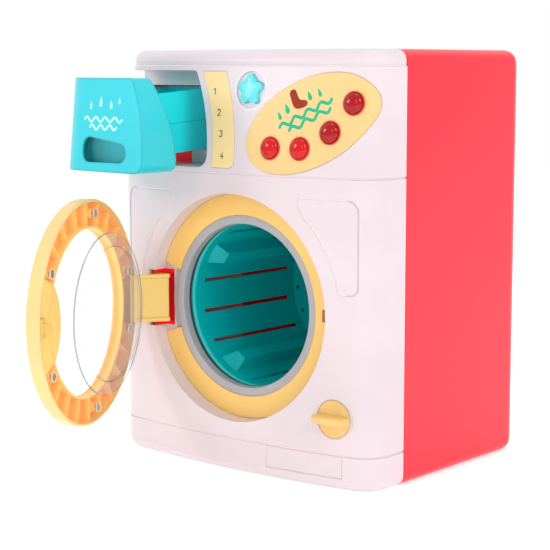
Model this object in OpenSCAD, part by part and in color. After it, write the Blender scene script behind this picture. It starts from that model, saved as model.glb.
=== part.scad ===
// Toy front-loading washing machine with an opening door, a drawer, a turning drum,
// a selector knob and a start button. Millimetres, +Z up, the front faces -Y.
// Origin: centre of the footprint, on the floor.
// Shapes are drawn from the foremost point of the front (y = 0) backwards, and each
// sub-part is moved by half the depth, so that the origin is under the middle.

/* [Cabinet] */
// Width of the cabinet
body_w = 223; // [215:1:235]
// Height of the cabinet
body_h = 280; // [278:1:290]
// Depth of the cabinet, front to back
body_d = 179; // [172:1:190]
// How far the front bows out at its middle
crown = 9; // [5:0.5:12]
// Radius of the two upright front corners
corner_r = 19; // [15:1:24]
// Wall of both housings
wall = 2.2; // [1.8:0.1:2.6]
// Distance from the foremost point to the seam between the housings
seam_y = 41.5; // [40:0.5:46]
// Height of the groove over the plinth
plinth_z = 22.5; // [20:0.5:24]
// Height of the groove under the control panel
panel_z = 199.3; // [198:0.1:202]
// Height of the groove under the cap
cap_z = 269.6; // [268:0.1:271]
// Height of the thin rim under the cap
rim_h = 3; // [2:0.5:3.5]
// Angle that the control panel leans back
panel_lean = 6.5; // [5:0.5:8]
// Rounding along the top edges
top_r = 8; // [6:0.5:9]
// Rounding along the bottom edges
bottom_r = 6.2; // [4:0.2:7]
// Rounding of the upright back edges
back_r = 11; // [8:1:13]
// Width of the grooves in the front
groove_w = 1; // [0.8:0.1:1.4]
// Depth of the grooves in the front
groove_d = 0.8; // [0.5:0.1:1]

/* [Port and drum] */
// Height of the port's centre
port_z = 110; // [108:1:112]
// Distance from the cabinet's side to the recess round the port
recess_in = 35.5; // [33.5:0.5:36]
// Depth of the flat floor of the recess behind the foremost point
recess_y = 15.6; // [15:0.1:17]
// Thickness of the ring on the recess floor
ring_t = 2.2; // [1.6:0.1:2.4]
// Width of that ring, out to the recess
ring_w = 15; // [13:0.5:16]
// Half angle of the ring's gap at the hinge
ring_gap_a = 19; // [17:1:21]
// Width of the gasket's face, from the ring inwards
gasket_w = 6; // [5.4:0.1:6.4]
// How much wider the drum is than the gasket, on the radius
drum_more = 0.4; // [0.2:0.1:1]
// Wall of the drum
drum_wall = 1.8; // [1.4:0.1:2.2]
// Where the drum's mouth begins
drum_y = 24; // [22:0.5:25]
// Length of the drum
drum_l = 110; // [100:1:112]
// Number of lifters in the drum
lifters = 4; // [3:1:5]
// Slots between two lifters
slots_between = 3; // [2:1:4]
// Width of the slots
slot_w = 2.6; // [2:0.1:3.2]
// Height of a lifter
lifter_h = 8; // [6:0.5:10]
// Width of a lifter at its foot
lifter_w = 17; // [14:1:20]
// Angle of the first lifter, from the right, counter-clockwise seen from the front
lifter_a = 146.5; // [140:0.5:156]
// Teeth of the large gear on the drum's shaft
gear_teeth = 40; // [36:1:44]
// Teeth of the motor's pinion
pinion_teeth = 10; // [10:1:12]
// Module of the gear teeth
gear_m = 1.5; // [1.4:0.1:1.6]
// Width of the gear teeth
gear_w = 7; // [5:0.5:8]
// Radius of the drum's shaft
shaft_r = 4; // [3:0.5:5]

/* [Door] */
// Gap between the door's ring and the recess, on the radius
door_gap = 1.8; // [1.5:0.1:3]
// Thickness of the door's ring
door_t = 10.3; // [9:0.1:10.8]
// Width of the door's ring
door_w = 19.2; // [17:0.1:20]
// How far the shut door's face lies behind the foremost point
door_y = 2; // [1.5:0.1:2.4]
// How much narrower the clear bowl's far end is than the ring, on the radius
bowl_taper = 2; // [2:0.1:5]
// How far the bowl stands behind the door's ring
bowl_h = 16; // [10:0.5:16.5]
// Wall of the clear window
window_t = 1.6; // [1.2:0.1:2]
// Angle of the open door in this pose
door_open = 69; // [60:1:80]
// Distance from the cabinet's left side to the hinge pin
hinge_in = 21.5; // [18.5:0.5:22]
// Place of the hinge pin behind the foremost point
hinge_y = 12; // [11.5:0.1:13]
// Radius of the hinge pin
hinge_pin_r = 1.75; // [1.5:0.05:2]
// Height of the hinge arm
arm_h = 33; // [28:1:34]
// Thickness of the hinge arm
arm_t = 2.4; // [2:0.1:2.8]

/* [Drawer] */
// How far the drawer is pulled out in this pose
drawer_out = 61; // [50:1:65]
// How far outside the left side the centre of the opening's curved edge lies
arc_out = 31.5; // [29:0.5:34]
// Height of that centre
arc_z = 208; // [206:1:210]
// Radius of the opening's curved edge
arc_r = 121; // [119:0.5:122]
// Where the opening's back wall begins
drawer_back_y = 35.6; // [35:0.2:36.4]
// Gap round the drawer front
drawer_gap = 0.7; // [0.5:0.1:0.9]
// Slope of the drawer's run, down towards the front
drawer_slope = 3.8; // [0:0.2:4]
// Radius of the drawer front's left corner
drawer_corner_r = 27; // [20:1:30]
// Distance from the cabinet's left side to the drawer box
box_in = 8.5; // [7.5:0.5:11]
// Width of the drawer box
box_w = 51; // [46:1:53]
// Underside of the drawer box where it leaves the opening
box_z0 = 213; // [212:0.5:214]
// Height of the drawer box
box_h = 41; // [38:0.5:42]
// Length of the drawer box
box_l = 88; // [80:1:95]
// Wall of the drawer box
box_t = 1.8; // [1.5:0.1:2.2]

/* [Controls] */
// Middle of the star button
star_x = 12.6; // [11:0.2:14]
// Height of the star button
star_z = 254; // [253:0.5:254.5]
// Radius of the round dish for the star
star_dish_r = 12; // [11.5:0.1:12.2]
// Mean radius of the star
star_r = 8.6; // [8.4:0.1:9.4]
// How far the star's points stand out of its mean radius
star_wave = 1.5; // [1.2:0.1:2]
// Travel of the star button
star_travel = 2.4; // [2:0.1:2.6]
// Middle of the selector knob
knob_x = 82.5; // [80:0.5:84]
// Height of the selector knob
knob_z = 45.8; // [44:0.2:47]
// Radius of the knob
knob_r = 12.3; // [11.5:0.1:13]
// Width of the knob's grip bar
knob_bar = 5; // [4:0.5:6]
// How far the grip bar stands proud of the panel
knob_proud = 8.5; // [7:0.5:10]
// Middle of the oval plate
oval_x = 60; // [58:0.5:62]
// Height of the oval plate
oval_z = 232.9; // [232:0.1:234]
// Long half axis of the oval plate
oval_a = 50.5; // [48:0.5:51]
// Short half axis of the oval plate
oval_b = 28.3; // [26:0.1:28.5]
// Tilt of the oval plate
oval_tilt = 22.7; // [20:0.1:25]
// Thickness of the oval plate and the label strip
plate_t = 1; // [0.8:0.1:1.2]
// Radius of the lamp lenses
lens_r = 6.7; // [6.4:0.1:7.4]
// Height of the lamp lenses
lens_h = 4; // [3:0.5:6]
// Gap between the drawer opening and the label strip
strip_gap = 5.3; // [4:0.1:6]
// Width of the label strip
strip_w = 19; // [17:0.5:20]

/* [Hidden] */

// Fit between a shaft and its bearing, on the radius
run_fit = 0.05;
// Gap between parts that move past each other
run_gap = 0.5;
// A cut reaches this far past the face it opens
over = 1;
half_w = body_w / 2;
crown_r = (half_w * half_w + crown * crown) / (2 * crown);
recess_r = half_w - recess_in;
ring_in_r = recess_r - ring_w;
gasket_r = ring_in_r - gasket_w;
drum_r = gasket_r + drum_more;
door_r = recess_r - door_gap;
door_in_r = door_r - door_w;
bowl_r = door_in_r - bowl_taper;
hinge_x = -half_w + hinge_in;
arc_x = -half_w - arc_out;
box_x0 = -half_w + box_in;
box_x1 = box_x0 + box_w;
box_z1 = box_z0 + box_h;
corner_x = half_w - corner_r;
corner_y = crown_r - sqrt(pow(crown_r - corner_r, 2) - corner_x * corner_x);
crown_a = atan2(corner_x, crown_r - corner_y);
crown_steps = 22;
corner_steps = 9;
panel_h = cap_z - panel_z;
// How far the cap's sides stand in from the rim under it
cap_in = 0.6;
// Where the leaning panel meets the cap
cap_y = panel_h * tan(panel_lean);
rim_z = cap_z - rim_h;
opening_z0 = panel_z + 3;
opening_z1 = rim_z - 0.3;
bulkhead_y = drum_y + drum_l + 5;
bulkhead_t = 3;
gear_y = bulkhead_y + bulkhead_t + 2;
gear_rp = gear_m * gear_teeth / 2;
pinion_rp = gear_m * pinion_teeth / 2;
motor_z = port_z - gear_rp - pinion_rp;
motor_y = gear_y + gear_w + 3.5;
motor_r = 12;
back_y = body_d - wall;
door_back_y = door_y + door_t;
knob_y = crown_at(knob_x);
star_y = crown_at(star_x) + lean_at(star_z);
lens_places = [[32.4, 216.8], [55.4, 217.1], [77.2, 227.7], [92.8, 246.2]];
board_y = 28;

// How far the bowed front lies behind the foremost point at a sideways place
function crown_at(x) = crown_r - sqrt(crown_r * crown_r - x * x);
// How far the leaning panel lies behind the lower one at a height
function lean_at(z) = max(0, z - panel_z) * tan(panel_lean);
// The same on the bow and round the corner, and how far the front has turned there
turn_x = corner_x + corner_r * sin(crown_a);
function front_at(x) = x < turn_x ? crown_at(x)
    : corner_y - sqrt(corner_r * corner_r - pow(x - corner_x, 2));
function front_turn(x) = x < turn_x ? asin(x / crown_r) : asin((x - corner_x) / corner_r);

// Plan outline of the front, drawn in by g, as far back as back
function plan_points(g, back) = concat(
    [for (i = [0:crown_steps])
        let (t = crown_a * (2 * i / crown_steps - 1))
        [(crown_r - g) * sin(t), crown_r - (crown_r - g) * cos(t)]],
    [for (i = [1:corner_steps])
        let (t = crown_a - 90 + (90 - crown_a) * i / corner_steps)
        [corner_x + (corner_r - g) * cos(t), corner_y + (corner_r - g) * sin(t)]],
    [[half_w - g, back], [-half_w + g, back]],
    [for (i = [0:corner_steps - 1])
        let (t = 180 + (90 - crown_a) * i / corner_steps)
        [-corner_x + (corner_r - g) * cos(t), corner_y + (corner_r - g) * sin(t)]]);

module place() {
    translate([0, -body_d / 2, 0]) children();
}

// A prism on the front's plan outline between two heights
module plan_prism(g, z0, z1, back) {
    translate([0, 0, z0]) linear_extrude(z1 - z0) polygon(plan_points(g, back));
}

// The prism of the leaning control panel
module lean_prism(g, z0, z1, back) {
    intersection() {
        translate([0, 0, panel_z]) rotate([-panel_lean, 0, 0]) translate([0, 0, -10])
            linear_extrude(panel_h + 20) polygon(plan_points(g, back + 20));
        translate([-body_w, -body_w, z0]) cube([2 * body_w, body_w + back, z1 - z0]);
    }
}

// Layers that round an edge of radius r in quarter-circle steps
round_steps = 4;
module rounded_layers(r, z, up, g, back) {
    hull() {
        for (i = [0:round_steps]) {
            a = 90 * i / round_steps;
            inset = g + r * (1 - cos(a));
            h = r * sin(a);
            translate([0, 0, z + (up ? h : -h - 0.02)]) linear_extrude(0.02)
                polygon(plan_points(inset, back));
        }
    }
}

// The closed outer form of the whole front, in to the seam
module front_form() {
    rounded_layers(bottom_r, bottom_r, false, 0, seam_y);
    plan_prism(0, bottom_r - 0.02, panel_z, seam_y);
    lean_prism(0, panel_z - 0.01, cap_z, seam_y);
    translate([0, cap_y, 0]) {
        plan_prism(cap_in, cap_z - 0.01, body_h - top_r + cap_in + 0.01, seam_y - cap_y);
        rounded_layers(top_r - cap_in, body_h - top_r + cap_in, true, cap_in, seam_y - cap_y);
    }
}

// The hollow inside the front
module front_hollow() {
    plan_prism(wall, bottom_r, panel_z, seam_y + over);
    lean_prism(wall + 0.05, panel_z - 0.3, cap_z, seam_y + over);
    translate([0, cap_y, 0]) {
        plan_prism(wall + cap_in, cap_z - 0.01, body_h - top_r, seam_y - cap_y + over);
        plan_prism(top_r, body_h - top_r - 0.01, body_h - wall, seam_y - cap_y + over);
    }
    plan_prism(bottom_r, wall, bottom_r + 0.01, seam_y + over);
}

// The outline of the drawer opening seen from the front, drawn in by g, its foot raised by low
opening_top_r = 4;
opening_low_r = 8;
module opening_outline(g, low = 0) {
    difference() {
        intersection() {
            translate([arc_x, arc_z]) circle(r = arc_r - g, $fn = 160);
            translate([-half_w - 10, opening_z0 + g + low])
                square([half_w + 10, opening_z1 - opening_z0 - 2 * g - low]);
        }
        corner_bite(opening_z1 - g, opening_top_r - g, 1, arc_r - g);
        corner_bite(opening_z0 + g + low, opening_low_r - g, -1, arc_r - g);
    }
}

// What rounds the outline's right corner at height z with radius r, where the
// curved edge has radius big; side is 1 at the top and -1 at the bottom
module corner_bite(z, r, side, big) {
    cz = z - side * r;
    cx = arc_x + sqrt(pow(big - r, 2) - pow(cz - arc_z, 2));
    out = atan2(cz - arc_z, cx - arc_x);
    n = 8;
    reach = r + 12;
    polygon(concat(
        [for (i = [0:n]) let (t = side * 90 + (out - side * 90) * i / n, s = i < n ? r : r + 0.03)
            [cx + s * cos(t), cz + s * sin(t)]],
        [[cx + reach * cos(out), cz + reach * sin(out)], [cx + reach, z + side * 3],
            [cx, z + side * 3]]));
}

// A shape drawn as seen from the front, carried back from y0 to y1
module through(y0, y1) {
    translate([0, y1, 0]) rotate([90, 0, 0]) linear_extrude(y1 - y0) children();
}

// Rounded triangle on the lower panel beside the port, drawn in by g
tri_x = 99.7;
tri_z = 186.3;
tri_r = 86.5;
tri_low = 125.6;
tri_in = 54.3;
module triangle(g) {
    difference() {
        hull() {
            translate([tri_x - 8, tri_z - 8]) circle(r = 8 - g, $fn = 40);
            translate([tri_in + 4, tri_z - 4]) circle(r = 4 - g, $fn = 24);
            translate([tri_x - 5, tri_low + 5]) circle(r = 5 - g, $fn = 24);
            translate([tri_x - 12, tri_low + 4]) circle(r = 4 - g, $fn = 24);
        }
        translate([0, port_z]) circle(r = tri_r + g, $fn = 160);
    }
}

// A line along the triangle's edge, as deep as the grooves
module triangle_line(side) {
    intersection() {
        mirror([side < 0 ? 1 : 0, 0, 0]) through(-over, 20) difference() {
            triangle(0);
            triangle(1);
        }
        difference() {
            plan_prism(-over, tri_low - 5, tri_z + 5, 20);
            plan_prism(groove_d * 0.7, tri_low - 6, tri_z + 6, 21);
        }
    }
}

module front_grooves() {
    difference() {
        union() {
            plan_prism(-over, plinth_z - groove_w / 2, plinth_z + groove_w / 2, seam_y + over);
            plan_prism(-over, panel_z - groove_w / 2, panel_z + groove_w / 2, seam_y + over);
            translate([0, cap_y, 0])
                plan_prism(-over, cap_z - groove_w / 2, cap_z + groove_w / 2, seam_y);
        }
        plan_prism(groove_d, 0, panel_z + 2, seam_y + 2 * over);
        translate([0, cap_y, 0]) plan_prism(groove_d, panel_z + 10, body_h, seam_y + over);
    }
}

// The star button, its dish and its hole lean with the panel
module star_frame() {
    translate([0, star_y, star_z]) rotate([-panel_lean, 0, 0])
        translate([0, -star_y, -star_z]) children();
}

// A rounded star seen from the front, grown by g
star_hole_gap = 0.35;
dish_d = 1.2;
module star_outline(g) {
    polygon([for (i = [0:59])
        let (t = 6 * i, r = star_r + g + star_wave * cos(5 * (t - 90)))
        [star_x + r * cos(t), star_z + r * sin(t)]]);
}

arm_slot_h = arm_h + 6;
arm_slot_x0 = -(recess_r + wall + run_gap);
arm_slot_x1 = hinge_x + 24.7;
module arm_slot() {
    translate([arm_slot_x0, crown_at(arm_slot_x0) - 2, port_z - arm_slot_h / 2])
        cube([arm_slot_x1 - arm_slot_x0, recess_y + 5, arm_slot_h]);
}

catch_x = ring_in_r + 6.8;
catch_w = 2.6;
catch_h = 8;
// How far the catch's inner leg stands from the middle of its slot
catch_leg = 3.2;
module front_housing() {
    color([0.93, 0.89, 0.92]) place() {
        difference() {
            union() {
                difference() {
                    front_form();
                    front_hollow();
                }
                front_posts();
                // Wall and floor of the recess round the port
                intersection() {
                    through(-over, recess_y + wall) difference() {
                        translate([0, port_z]) circle(r = recess_r + wall, $fn = 160);
                        translate([0, port_z]) circle(r = ring_in_r + 3, $fn = 160);
                    }
                    plan_prism(0.3, plinth_z, panel_z, seam_y);
                }
                // Walls round the drawer opening
                intersection() {
                    through(0, drawer_back_y + wall) difference() {
                        opening_outline(-wall);
                        opening_outline(0);
                    }
                    lean_prism(0.3, panel_z - 5, rim_z, seam_y);
                }
                intersection() {
                    through(drawer_back_y, drawer_back_y + wall) opening_outline(-0.5);
                    plan_prism(0.3, panel_z, rim_z + 1, seam_y);
                }
            }
            // Recess and port
            through(-over, recess_y) translate([0, port_z]) circle(r = recess_r, $fn = 160);
            arm_slot();
            translate([catch_x - catch_w / 2, recess_y - over, port_z - catch_h / 2])
                cube([catch_w, 6, catch_h]);
            // Drawer opening, out through the left front corner
            through(-20, drawer_back_y) opening_outline(0);
            // Window in the back wall of the opening, and the notch under it
            drawer_run() translate([box_x0 - run_gap, drawer_back_y - over, box_z0 - run_gap])
                cube([box_w + 2 * run_gap, seam_y - drawer_back_y + over, box_h + 2 * run_gap + 1.5]);
            translate([-95, 0, opening_z0]) cube([28.6, seam_y, 12]);
            // Dish and hole of the star button
            star_frame() {
                through(star_y - 5, star_y + dish_d) translate([star_x, star_z])
                    circle(r = star_dish_r, $fn = 72);
                through(star_y - 5, star_y + 12) star_outline(star_hole_gap);
            }
            // Seat and bore of the knob
            through(-over, knob_y + 1.4) translate([knob_x, knob_z])
                circle(r = knob_r + run_gap, $fn = 72);
            through(-over, 14) translate([knob_x, knob_z]) circle(r = 3.4, $fn = 48);
            for (p = housing_screw_places)
                through(post_y - 9, post_y + over) translate(p) circle(r = 1.32, $fn = 24);
            front_grooves();
            triangle_line(1);
            triangle_line(-1);
            plinth_opening();
            plate_seat();
            for (p = lens_places)
                through(-over, seam_y) translate([p[0], p[1]]) circle(r = 3.2, $fn = 32);
        }
        // Floor behind the star's dish
        star_frame() through(star_y + dish_d, star_y + dish_d + wall) difference() {
            translate([star_x, star_z]) circle(r = star_dish_r + 0.2, $fn = 72);
            star_outline(star_hole_gap);
        }
        // Floor behind the knob's seat
        through(knob_y + 1.4, knob_y + 1.4 + wall) difference() {
            translate([knob_x, knob_z]) circle(r = knob_r + 2, $fn = 72);
            translate([knob_x, knob_z]) circle(r = 3.4, $fn = 48);
        }
    }
}

// The cut that takes the oval plate's and the strip's backs
module plate_seat() {
    intersection() {
        union() {
            through(-over, seam_y) oval_outline(0.15);
            through(-over, seam_y) strip_outline(0.15);
        }
        difference() {
            lean_prism(-over, panel_z + 0.6, rim_z, seam_y + over);
            lean_prism(plate_t * 0.6, panel_z, rim_z + 1, seam_y + over);
        }
    }
}

module oval_outline(g) {
    intersection() {
        translate([oval_x, oval_z]) rotate(oval_tilt)
            polygon([for (i = [0:71]) [(oval_a + g) * cos(5 * i), (oval_b + g) * sin(5 * i)]]);
        translate([-half_w, panel_z + 0.7 - g]) square([body_w, rim_z - panel_z - 0.8 + 2 * g]);
    }
}

module strip_outline(g) {
    r0 = arc_r + strip_gap - g;
    r1 = arc_r + strip_gap + strip_w + g;
    corner = 5;
    x = arc_x + sqrt(pow(r1 - corner, 2) - pow(panel_z + 3.4 - g + corner - arc_z, 2));
    intersection() {
        difference() {
            translate([arc_x, arc_z]) circle(r = r1, $fn = 160);
            translate([arc_x, arc_z]) circle(r = r0, $fn = 160);
            difference() {
                translate([x, panel_z - 1]) square([20, 4.4 - g + corner]);
                translate([x, panel_z + 3.4 - g + corner]) circle(r = corner, $fn = 48);
            }
        }
        translate([-60, panel_z + 3.4 - g]) square([90, rim_z - panel_z - 4.2 + 2 * g]);
    }
}

hatch_x0 = 30;
hatch_x1 = 88.8;
hatch_z0 = bottom_r + 1.2;
module plinth_opening() {
    translate([hatch_x0, -over, hatch_z0])
        cube([hatch_x1 - hatch_x0, 12, plinth_z - 0.5 - hatch_z0]);
}

module plinth_panel() {
    gap = 0.35;
    color([0.93, 0.89, 0.92]) place() {
        difference() {
            intersection() {
                plan_prism(0.05, hatch_z0 + gap, plinth_z - 0.5 - gap, 30);
                translate([hatch_x0 + gap, -over, 0])
                    cube([hatch_x1 - hatch_x0 - 2 * gap, 14, plinth_z]);
            }
            plan_prism(wall, 0, plinth_z + 1, 31);
        }
        // The inner frame that lies against the back of the plinth
        intersection() {
            difference() {
                plan_prism(wall, hatch_z0 - 1, plinth_z + 1.5, 30);
                plan_prism(wall + 1.4, 0, plinth_z + 2, 31);
            }
            translate([hatch_x0 - 3, -over, 0]) cube([hatch_x1 - hatch_x0 + 6, 16, plinth_z + 2]);
        }
    }
}

// Rear housing: rounded along its long edges and at the back
module rear_slab(inset, y, t) {
    r = top_r;
    translate([0, y + t, 0]) rotate([90, 0, 0]) linear_extrude(t) hull() {
        for (s = [-1, 1]) {
            translate([s * (half_w - r - inset), body_h - r - inset])
                circle(r = r, $fn = 32);
            translate([s * (half_w - bottom_r - inset), bottom_r + inset])
                circle(r = bottom_r, $fn = 32);
        }
    }
}

module rear_form() {
    hull() {
        rear_slab(0, seam_y, 0.02);
        for (i = [0:4]) {
            a = 90 * i / 4;
            rear_slab((back_r * (1 - cos(a))) * 0.7, body_d - back_r + back_r * sin(a) - 0.02, 0.02);
        }
    }
}

cover_w = 66;
cover_h = 54;
cover_z = 34;
speaker_x = 62;
speaker_z = 150;
module rear_housing() {
    shell_l = back_y - seam_y - back_r * 0.5 + over;
    color([0.99, 0.3, 0.36]) place() {
        difference() {
            rear_form();
            translate([-half_w + wall, seam_y - over, bottom_r])
                cube([body_w - 2 * wall, shell_l, body_h - top_r - bottom_r]);
            translate([-half_w + top_r, seam_y - over, wall])
                cube([body_w - 2 * top_r, shell_l, body_h - 2 * wall]);
            translate([-half_w + top_r, seam_y - over, bottom_r])
                cube([body_w - 2 * top_r, back_y - seam_y + over, body_h - top_r - bottom_r]);
            // Opening for the battery cover
            translate([-cover_w / 2, back_y - over, cover_z - cover_h / 2])
                cube([cover_w, wall + 2 * over, cover_h]);
            // Sound slots
            for (i = [-3:3])
                translate([speaker_x - sqrt(400 - 25 * i * i), back_y - over, speaker_z + 5 * i - 1])
                    cube([2 * sqrt(400 - 25 * i * i), wall + 2 * over, 2]);
            for (p = housing_screw_places)
                through(back_y - over, body_d + over) translate(p) circle(r = 3.4, $fn = 36);
        }
        // Hollow posts with the floor that the screws' heads pull on
        for (p = housing_screw_places)
            through(post_y, back_y) difference() {
                translate(p) circle(r = 5.2, $fn = 36);
                translate(p) circle(r = 3.4, $fn = 36);
            }
        for (p = housing_screw_places)
            through(post_y, post_y + post_floor) difference() {
                translate(p) circle(r = 5, $fn = 36);
                translate(p) circle(r = 1.8, $fn = 24);
            }
        // Rails that carry the inner frame
        for (s = [-1, 1])
            translate([s > 0 ? half_w - wall - 5 : -half_w + wall, bulkhead_y + bulkhead_t, bottom_r + 6])
                cube([5, 3, 180]);
    }
}

housing_screw_places = [[-half_w + 13.5, 20], [half_w - 13.5, 20], [-half_w + 19.5, body_h - 14.2],
    [half_w - 11.5, body_h - 16], [-half_w + 19.5, panel_z - 10.3], [half_w - 19.5, panel_z - 10.3]];
post_y = seam_y + 4;
post_floor = 2.5;
module housing_screws() {
    head = 2.2;
    color([0.7, 0.7, 0.72]) place() for (p = housing_screw_places)
        translate([p[0], post_y + post_floor + 0.02, p[1]]) rotate([-90, 0, 0]) difference() {
            union() {
                cylinder(r = 2.9, h = head, $fn = 32);
                translate([0, 0, -post_floor - 7]) cylinder(r = 1.3, h = post_floor + 7.5, $fn = 24);
            }
            translate([-0.5, -2, head - 1.2]) cube([1, 4, 2]);
            translate([-2, -0.5, head - 1.2]) cube([4, 1, 2]);
        }
}

// Posts inside the front that the screws bite into
module front_posts() {
    intersection() {
        union() for (p = housing_screw_places)
            through(0, post_y - 0.02) translate(p) circle(r = 4.6, $fn = 36);
        union() {
            plan_prism(0.5, bottom_r, panel_z, post_y);
            lean_prism(0.5, panel_z - 0.1, rim_z + 2, post_y);
        }
    }
}

// The wedge that is cut from the ring at the hinge, half as wide as a degrees
module ring_gap(a) {
    reach = half_w;
    translate([0, port_z]) polygon([[0, 0], [-reach, -reach * tan(a)], [-reach, reach * tan(a)]]);
}

module port_ring() {
    color([0.97, 0.74, 0.42]) place() difference() {
        through(recess_y - ring_t, recess_y) difference() {
            translate([0, port_z]) circle(r = recess_r - 0.15, $fn = 160);
            translate([0, port_z]) circle(r = ring_in_r, $fn = 160);
            ring_gap(ring_gap_a);
        }
        translate([catch_x - catch_w / 2, recess_y - 5, port_z - catch_h / 2])
            cube([catch_w, 10, catch_h]);
    }
}

// Flexible seal between the ring and the drum's mouth
gasket_back = drum_y - 1.6;
module door_gasket() {
    r0 = ring_in_r - 0.05;
    // The flange behind the wall ends just short of the catch
    r1 = catch_x - catch_leg - run_gap;
    y0 = recess_y - ring_t;
    flange_y = recess_y + wall + 0.02;
    color([0.72, 0.72, 0.74]) place() {
        translate([0, 0, port_z]) rotate([-90, 0, 0]) rotate_extrude($fn = 120) polygon([
            [r0, y0 + 0.5], [r0, flange_y], [r1, flange_y], [r1, gasket_back],
            [gasket_r + 0.8, gasket_back], [gasket_r, gasket_back - 0.8], [gasket_r, y0 + 1.4],
            [gasket_r + 0.4, y0 + 0.7], [gasket_r + 1.3, y0 + 0.3], [r0 - 1.2, y0 + 0.1]]);
        // Flange seen in the ring's gap at the hinge
        through(recess_y - 1.2, recess_y - 0.02) intersection() {
            translate([0, port_z]) difference() {
                circle(r = ring_in_r + 3.6, $fn = 160);
                circle(r = ring_in_r - 1, $fn = 160);
            }
            ring_gap(ring_gap_a - 0.6);
        }
    }
}

module control_plate() {
    color([0.96, 0.83, 0.55]) place() difference() {
        intersection() {
            through(-10, seam_y) oval_outline(0);
            difference() {
                lean_prism(-plate_t * 0.4, panel_z + 0.6, rim_z, seam_y);
                lean_prism(plate_t * 0.6, panel_z, rim_z + 1, seam_y + over);
            }
            translate([-half_w, -10, 0]) cube([body_w, 10 + corner_y + 6, body_h]);
        }
        for (p = lens_places)
            through(-over, seam_y) translate([p[0], p[1]]) circle(r = 3.2, $fn = 32);
    }
}

module label_strip() {
    color([0.95, 0.85, 0.61]) place() intersection() {
        through(-10, seam_y) strip_outline(0);
        difference() {
            lean_prism(-plate_t * 0.2, panel_z + 0.6, rim_z, seam_y);
            lean_prism(plate_t * 0.6, panel_z, rim_z + 1, seam_y + over);
        }
    }
}

// Where a lamp's base lies on the plate
function lens_y(p) = front_at(p[0]) + lean_at(p[1]) - plate_t * 0.4;
module lens_frame(p) {
    translate([p[0], lens_y(p), p[1]])
        rotate([-panel_lean, 0, front_turn(p[0])]) rotate([90, 0, 0]) children();
}

module indicator_lenses() {
    color([0.9, 0.12, 0.08]) place() for (p = lens_places) lens_frame(p)
        rotate_extrude($fn = 48) polygon(concat(
            [[0, 1], [0, lens_h]],
            [for (i = [1:6]) [lens_r * sin(15 * i), lens_h * cos(15 * i) + 0.5 * sin(15 * i)]],
            [[lens_r + 0.8, 0.5], [lens_r + 0.8, 0.12], [2.6, 0.12], [2.6, 1]]));
}

module indicator_leds() {
    color([0.95, 0.9, 0.85]) place() for (p = lens_places)
        translate([p[0], 0, p[1]]) rotate([-90, 0, 0]) {
            y0 = lens_y(p) + 2.4;
            translate([0, 0, y0 + 1.6]) cylinder(r = 1.9, h = board_y - y0 - 1.6, $fn = 24);
            translate([0, 0, y0]) cylinder(r1 = 1, r2 = 1.9, h = 1.65, $fn = 24);
        }
}

function post_l(x) = board_y - crown_at(x + 3) - lean_at(212.5) - wall - 0.3;
module circuit_board() {
    color([0.1, 0.45, 0.25]) place() difference() {
        union() {
            difference() {
                translate([0, board_y, 206]) cube([104, 1.6, 54]);
                translate([93, board_y - over, 250]) cube([20, 4, 20]);
            }
            translate([44, board_y + 1.6, 222]) cube([14, 2.2, 14]);
            for (x = [14, 86]) for (z = [211, 254])
                translate([x, board_y + 1.6, z]) rotate([-90, 0, 0]) cylinder(r = 2.6, h = 1.6, $fn = 24);
            // Posts that hold the board off the back of the panel
            for (x = [20, 72]) translate([x, board_y - post_l(x), 209.5])
                cube([3, post_l(x) + 0.1, 3]);
        }
        for (x = [6, 90]) for (z = [212, 256])
            translate([x, board_y - over, z]) rotate([-90, 0, 0]) cylinder(r = 1.6, h = 4, $fn = 24);
    }
}

// The push switch stands where the leaning button's stem meets the board
switch_h = 5;
switch_tip = 1.6;
switch_z = star_z - (board_y - switch_h - switch_tip - star_y) * tan(panel_lean);
module power_switch() {
    color([0.2, 0.2, 0.22]) place() {
        translate([star_x - 3.5, board_y - switch_h, switch_z - 3.5]) cube([7, switch_h, 7]);
        translate([star_x, board_y - switch_h - switch_tip, switch_z]) rotate([-90, 0, 0])
            cylinder(r = 1.8, h = switch_tip, $fn = 24);
    }
}

star_proud = 1.6;
module star_button() {
    collar_y = star_y + dish_d + wall + 0.5;
    stem_end = star_y + (board_y - switch_h - switch_tip - star_y) / cos(panel_lean) - star_travel - 0.7;
    color([0.62, 0.93, 0.97]) place() star_frame() {
        through(star_y - star_proud, collar_y + 0.7) star_outline(0);
        // Collar that keeps the button in
        through(collar_y, collar_y + 1.4) star_outline(1.2);
        through(collar_y + 1, stem_end) translate([star_x, star_z]) circle(r = 2.4, $fn = 32);
    }
}

module selector_knob() {
    face = knob_y - 0.4;
    color([0.95, 0.83, 0.54]) place() difference() {
        union() {
            through(face, knob_y + 1.1) translate([knob_x, knob_z]) circle(r = knob_r, $fn = 72);
            intersection() {
                through(knob_y - knob_proud, face + 0.01) translate([knob_x, knob_z])
                    circle(r = knob_r, $fn = 72);
                hull() {
                    translate([knob_x - knob_r, knob_y - knob_proud + 1.2, knob_z - knob_bar / 2])
                        cube([2 * knob_r, knob_proud, knob_bar]);
                    translate([knob_x - knob_r + 1, knob_y - knob_proud, knob_z - knob_bar / 2 + 1])
                        cube([2 * knob_r - 2, knob_proud, knob_bar - 2]);
                }
            }
            through(knob_y + 1, knob_y + 13) translate([knob_x, knob_z]) circle(r = 3, $fn = 48);
        }
        // Dished faces above and below the bar
        for (s = [-1, 1]) intersection() {
            translate([knob_x, face - 24, knob_z + s * 6.8]) sphere(r = 24.9, $fn = 64);
            translate([knob_x - 20, face - over, s > 0 ? knob_z + knob_bar / 2 : knob_z - 20 - knob_bar / 2])
                cube([40, 5, 20]);
        }
    }
}

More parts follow.
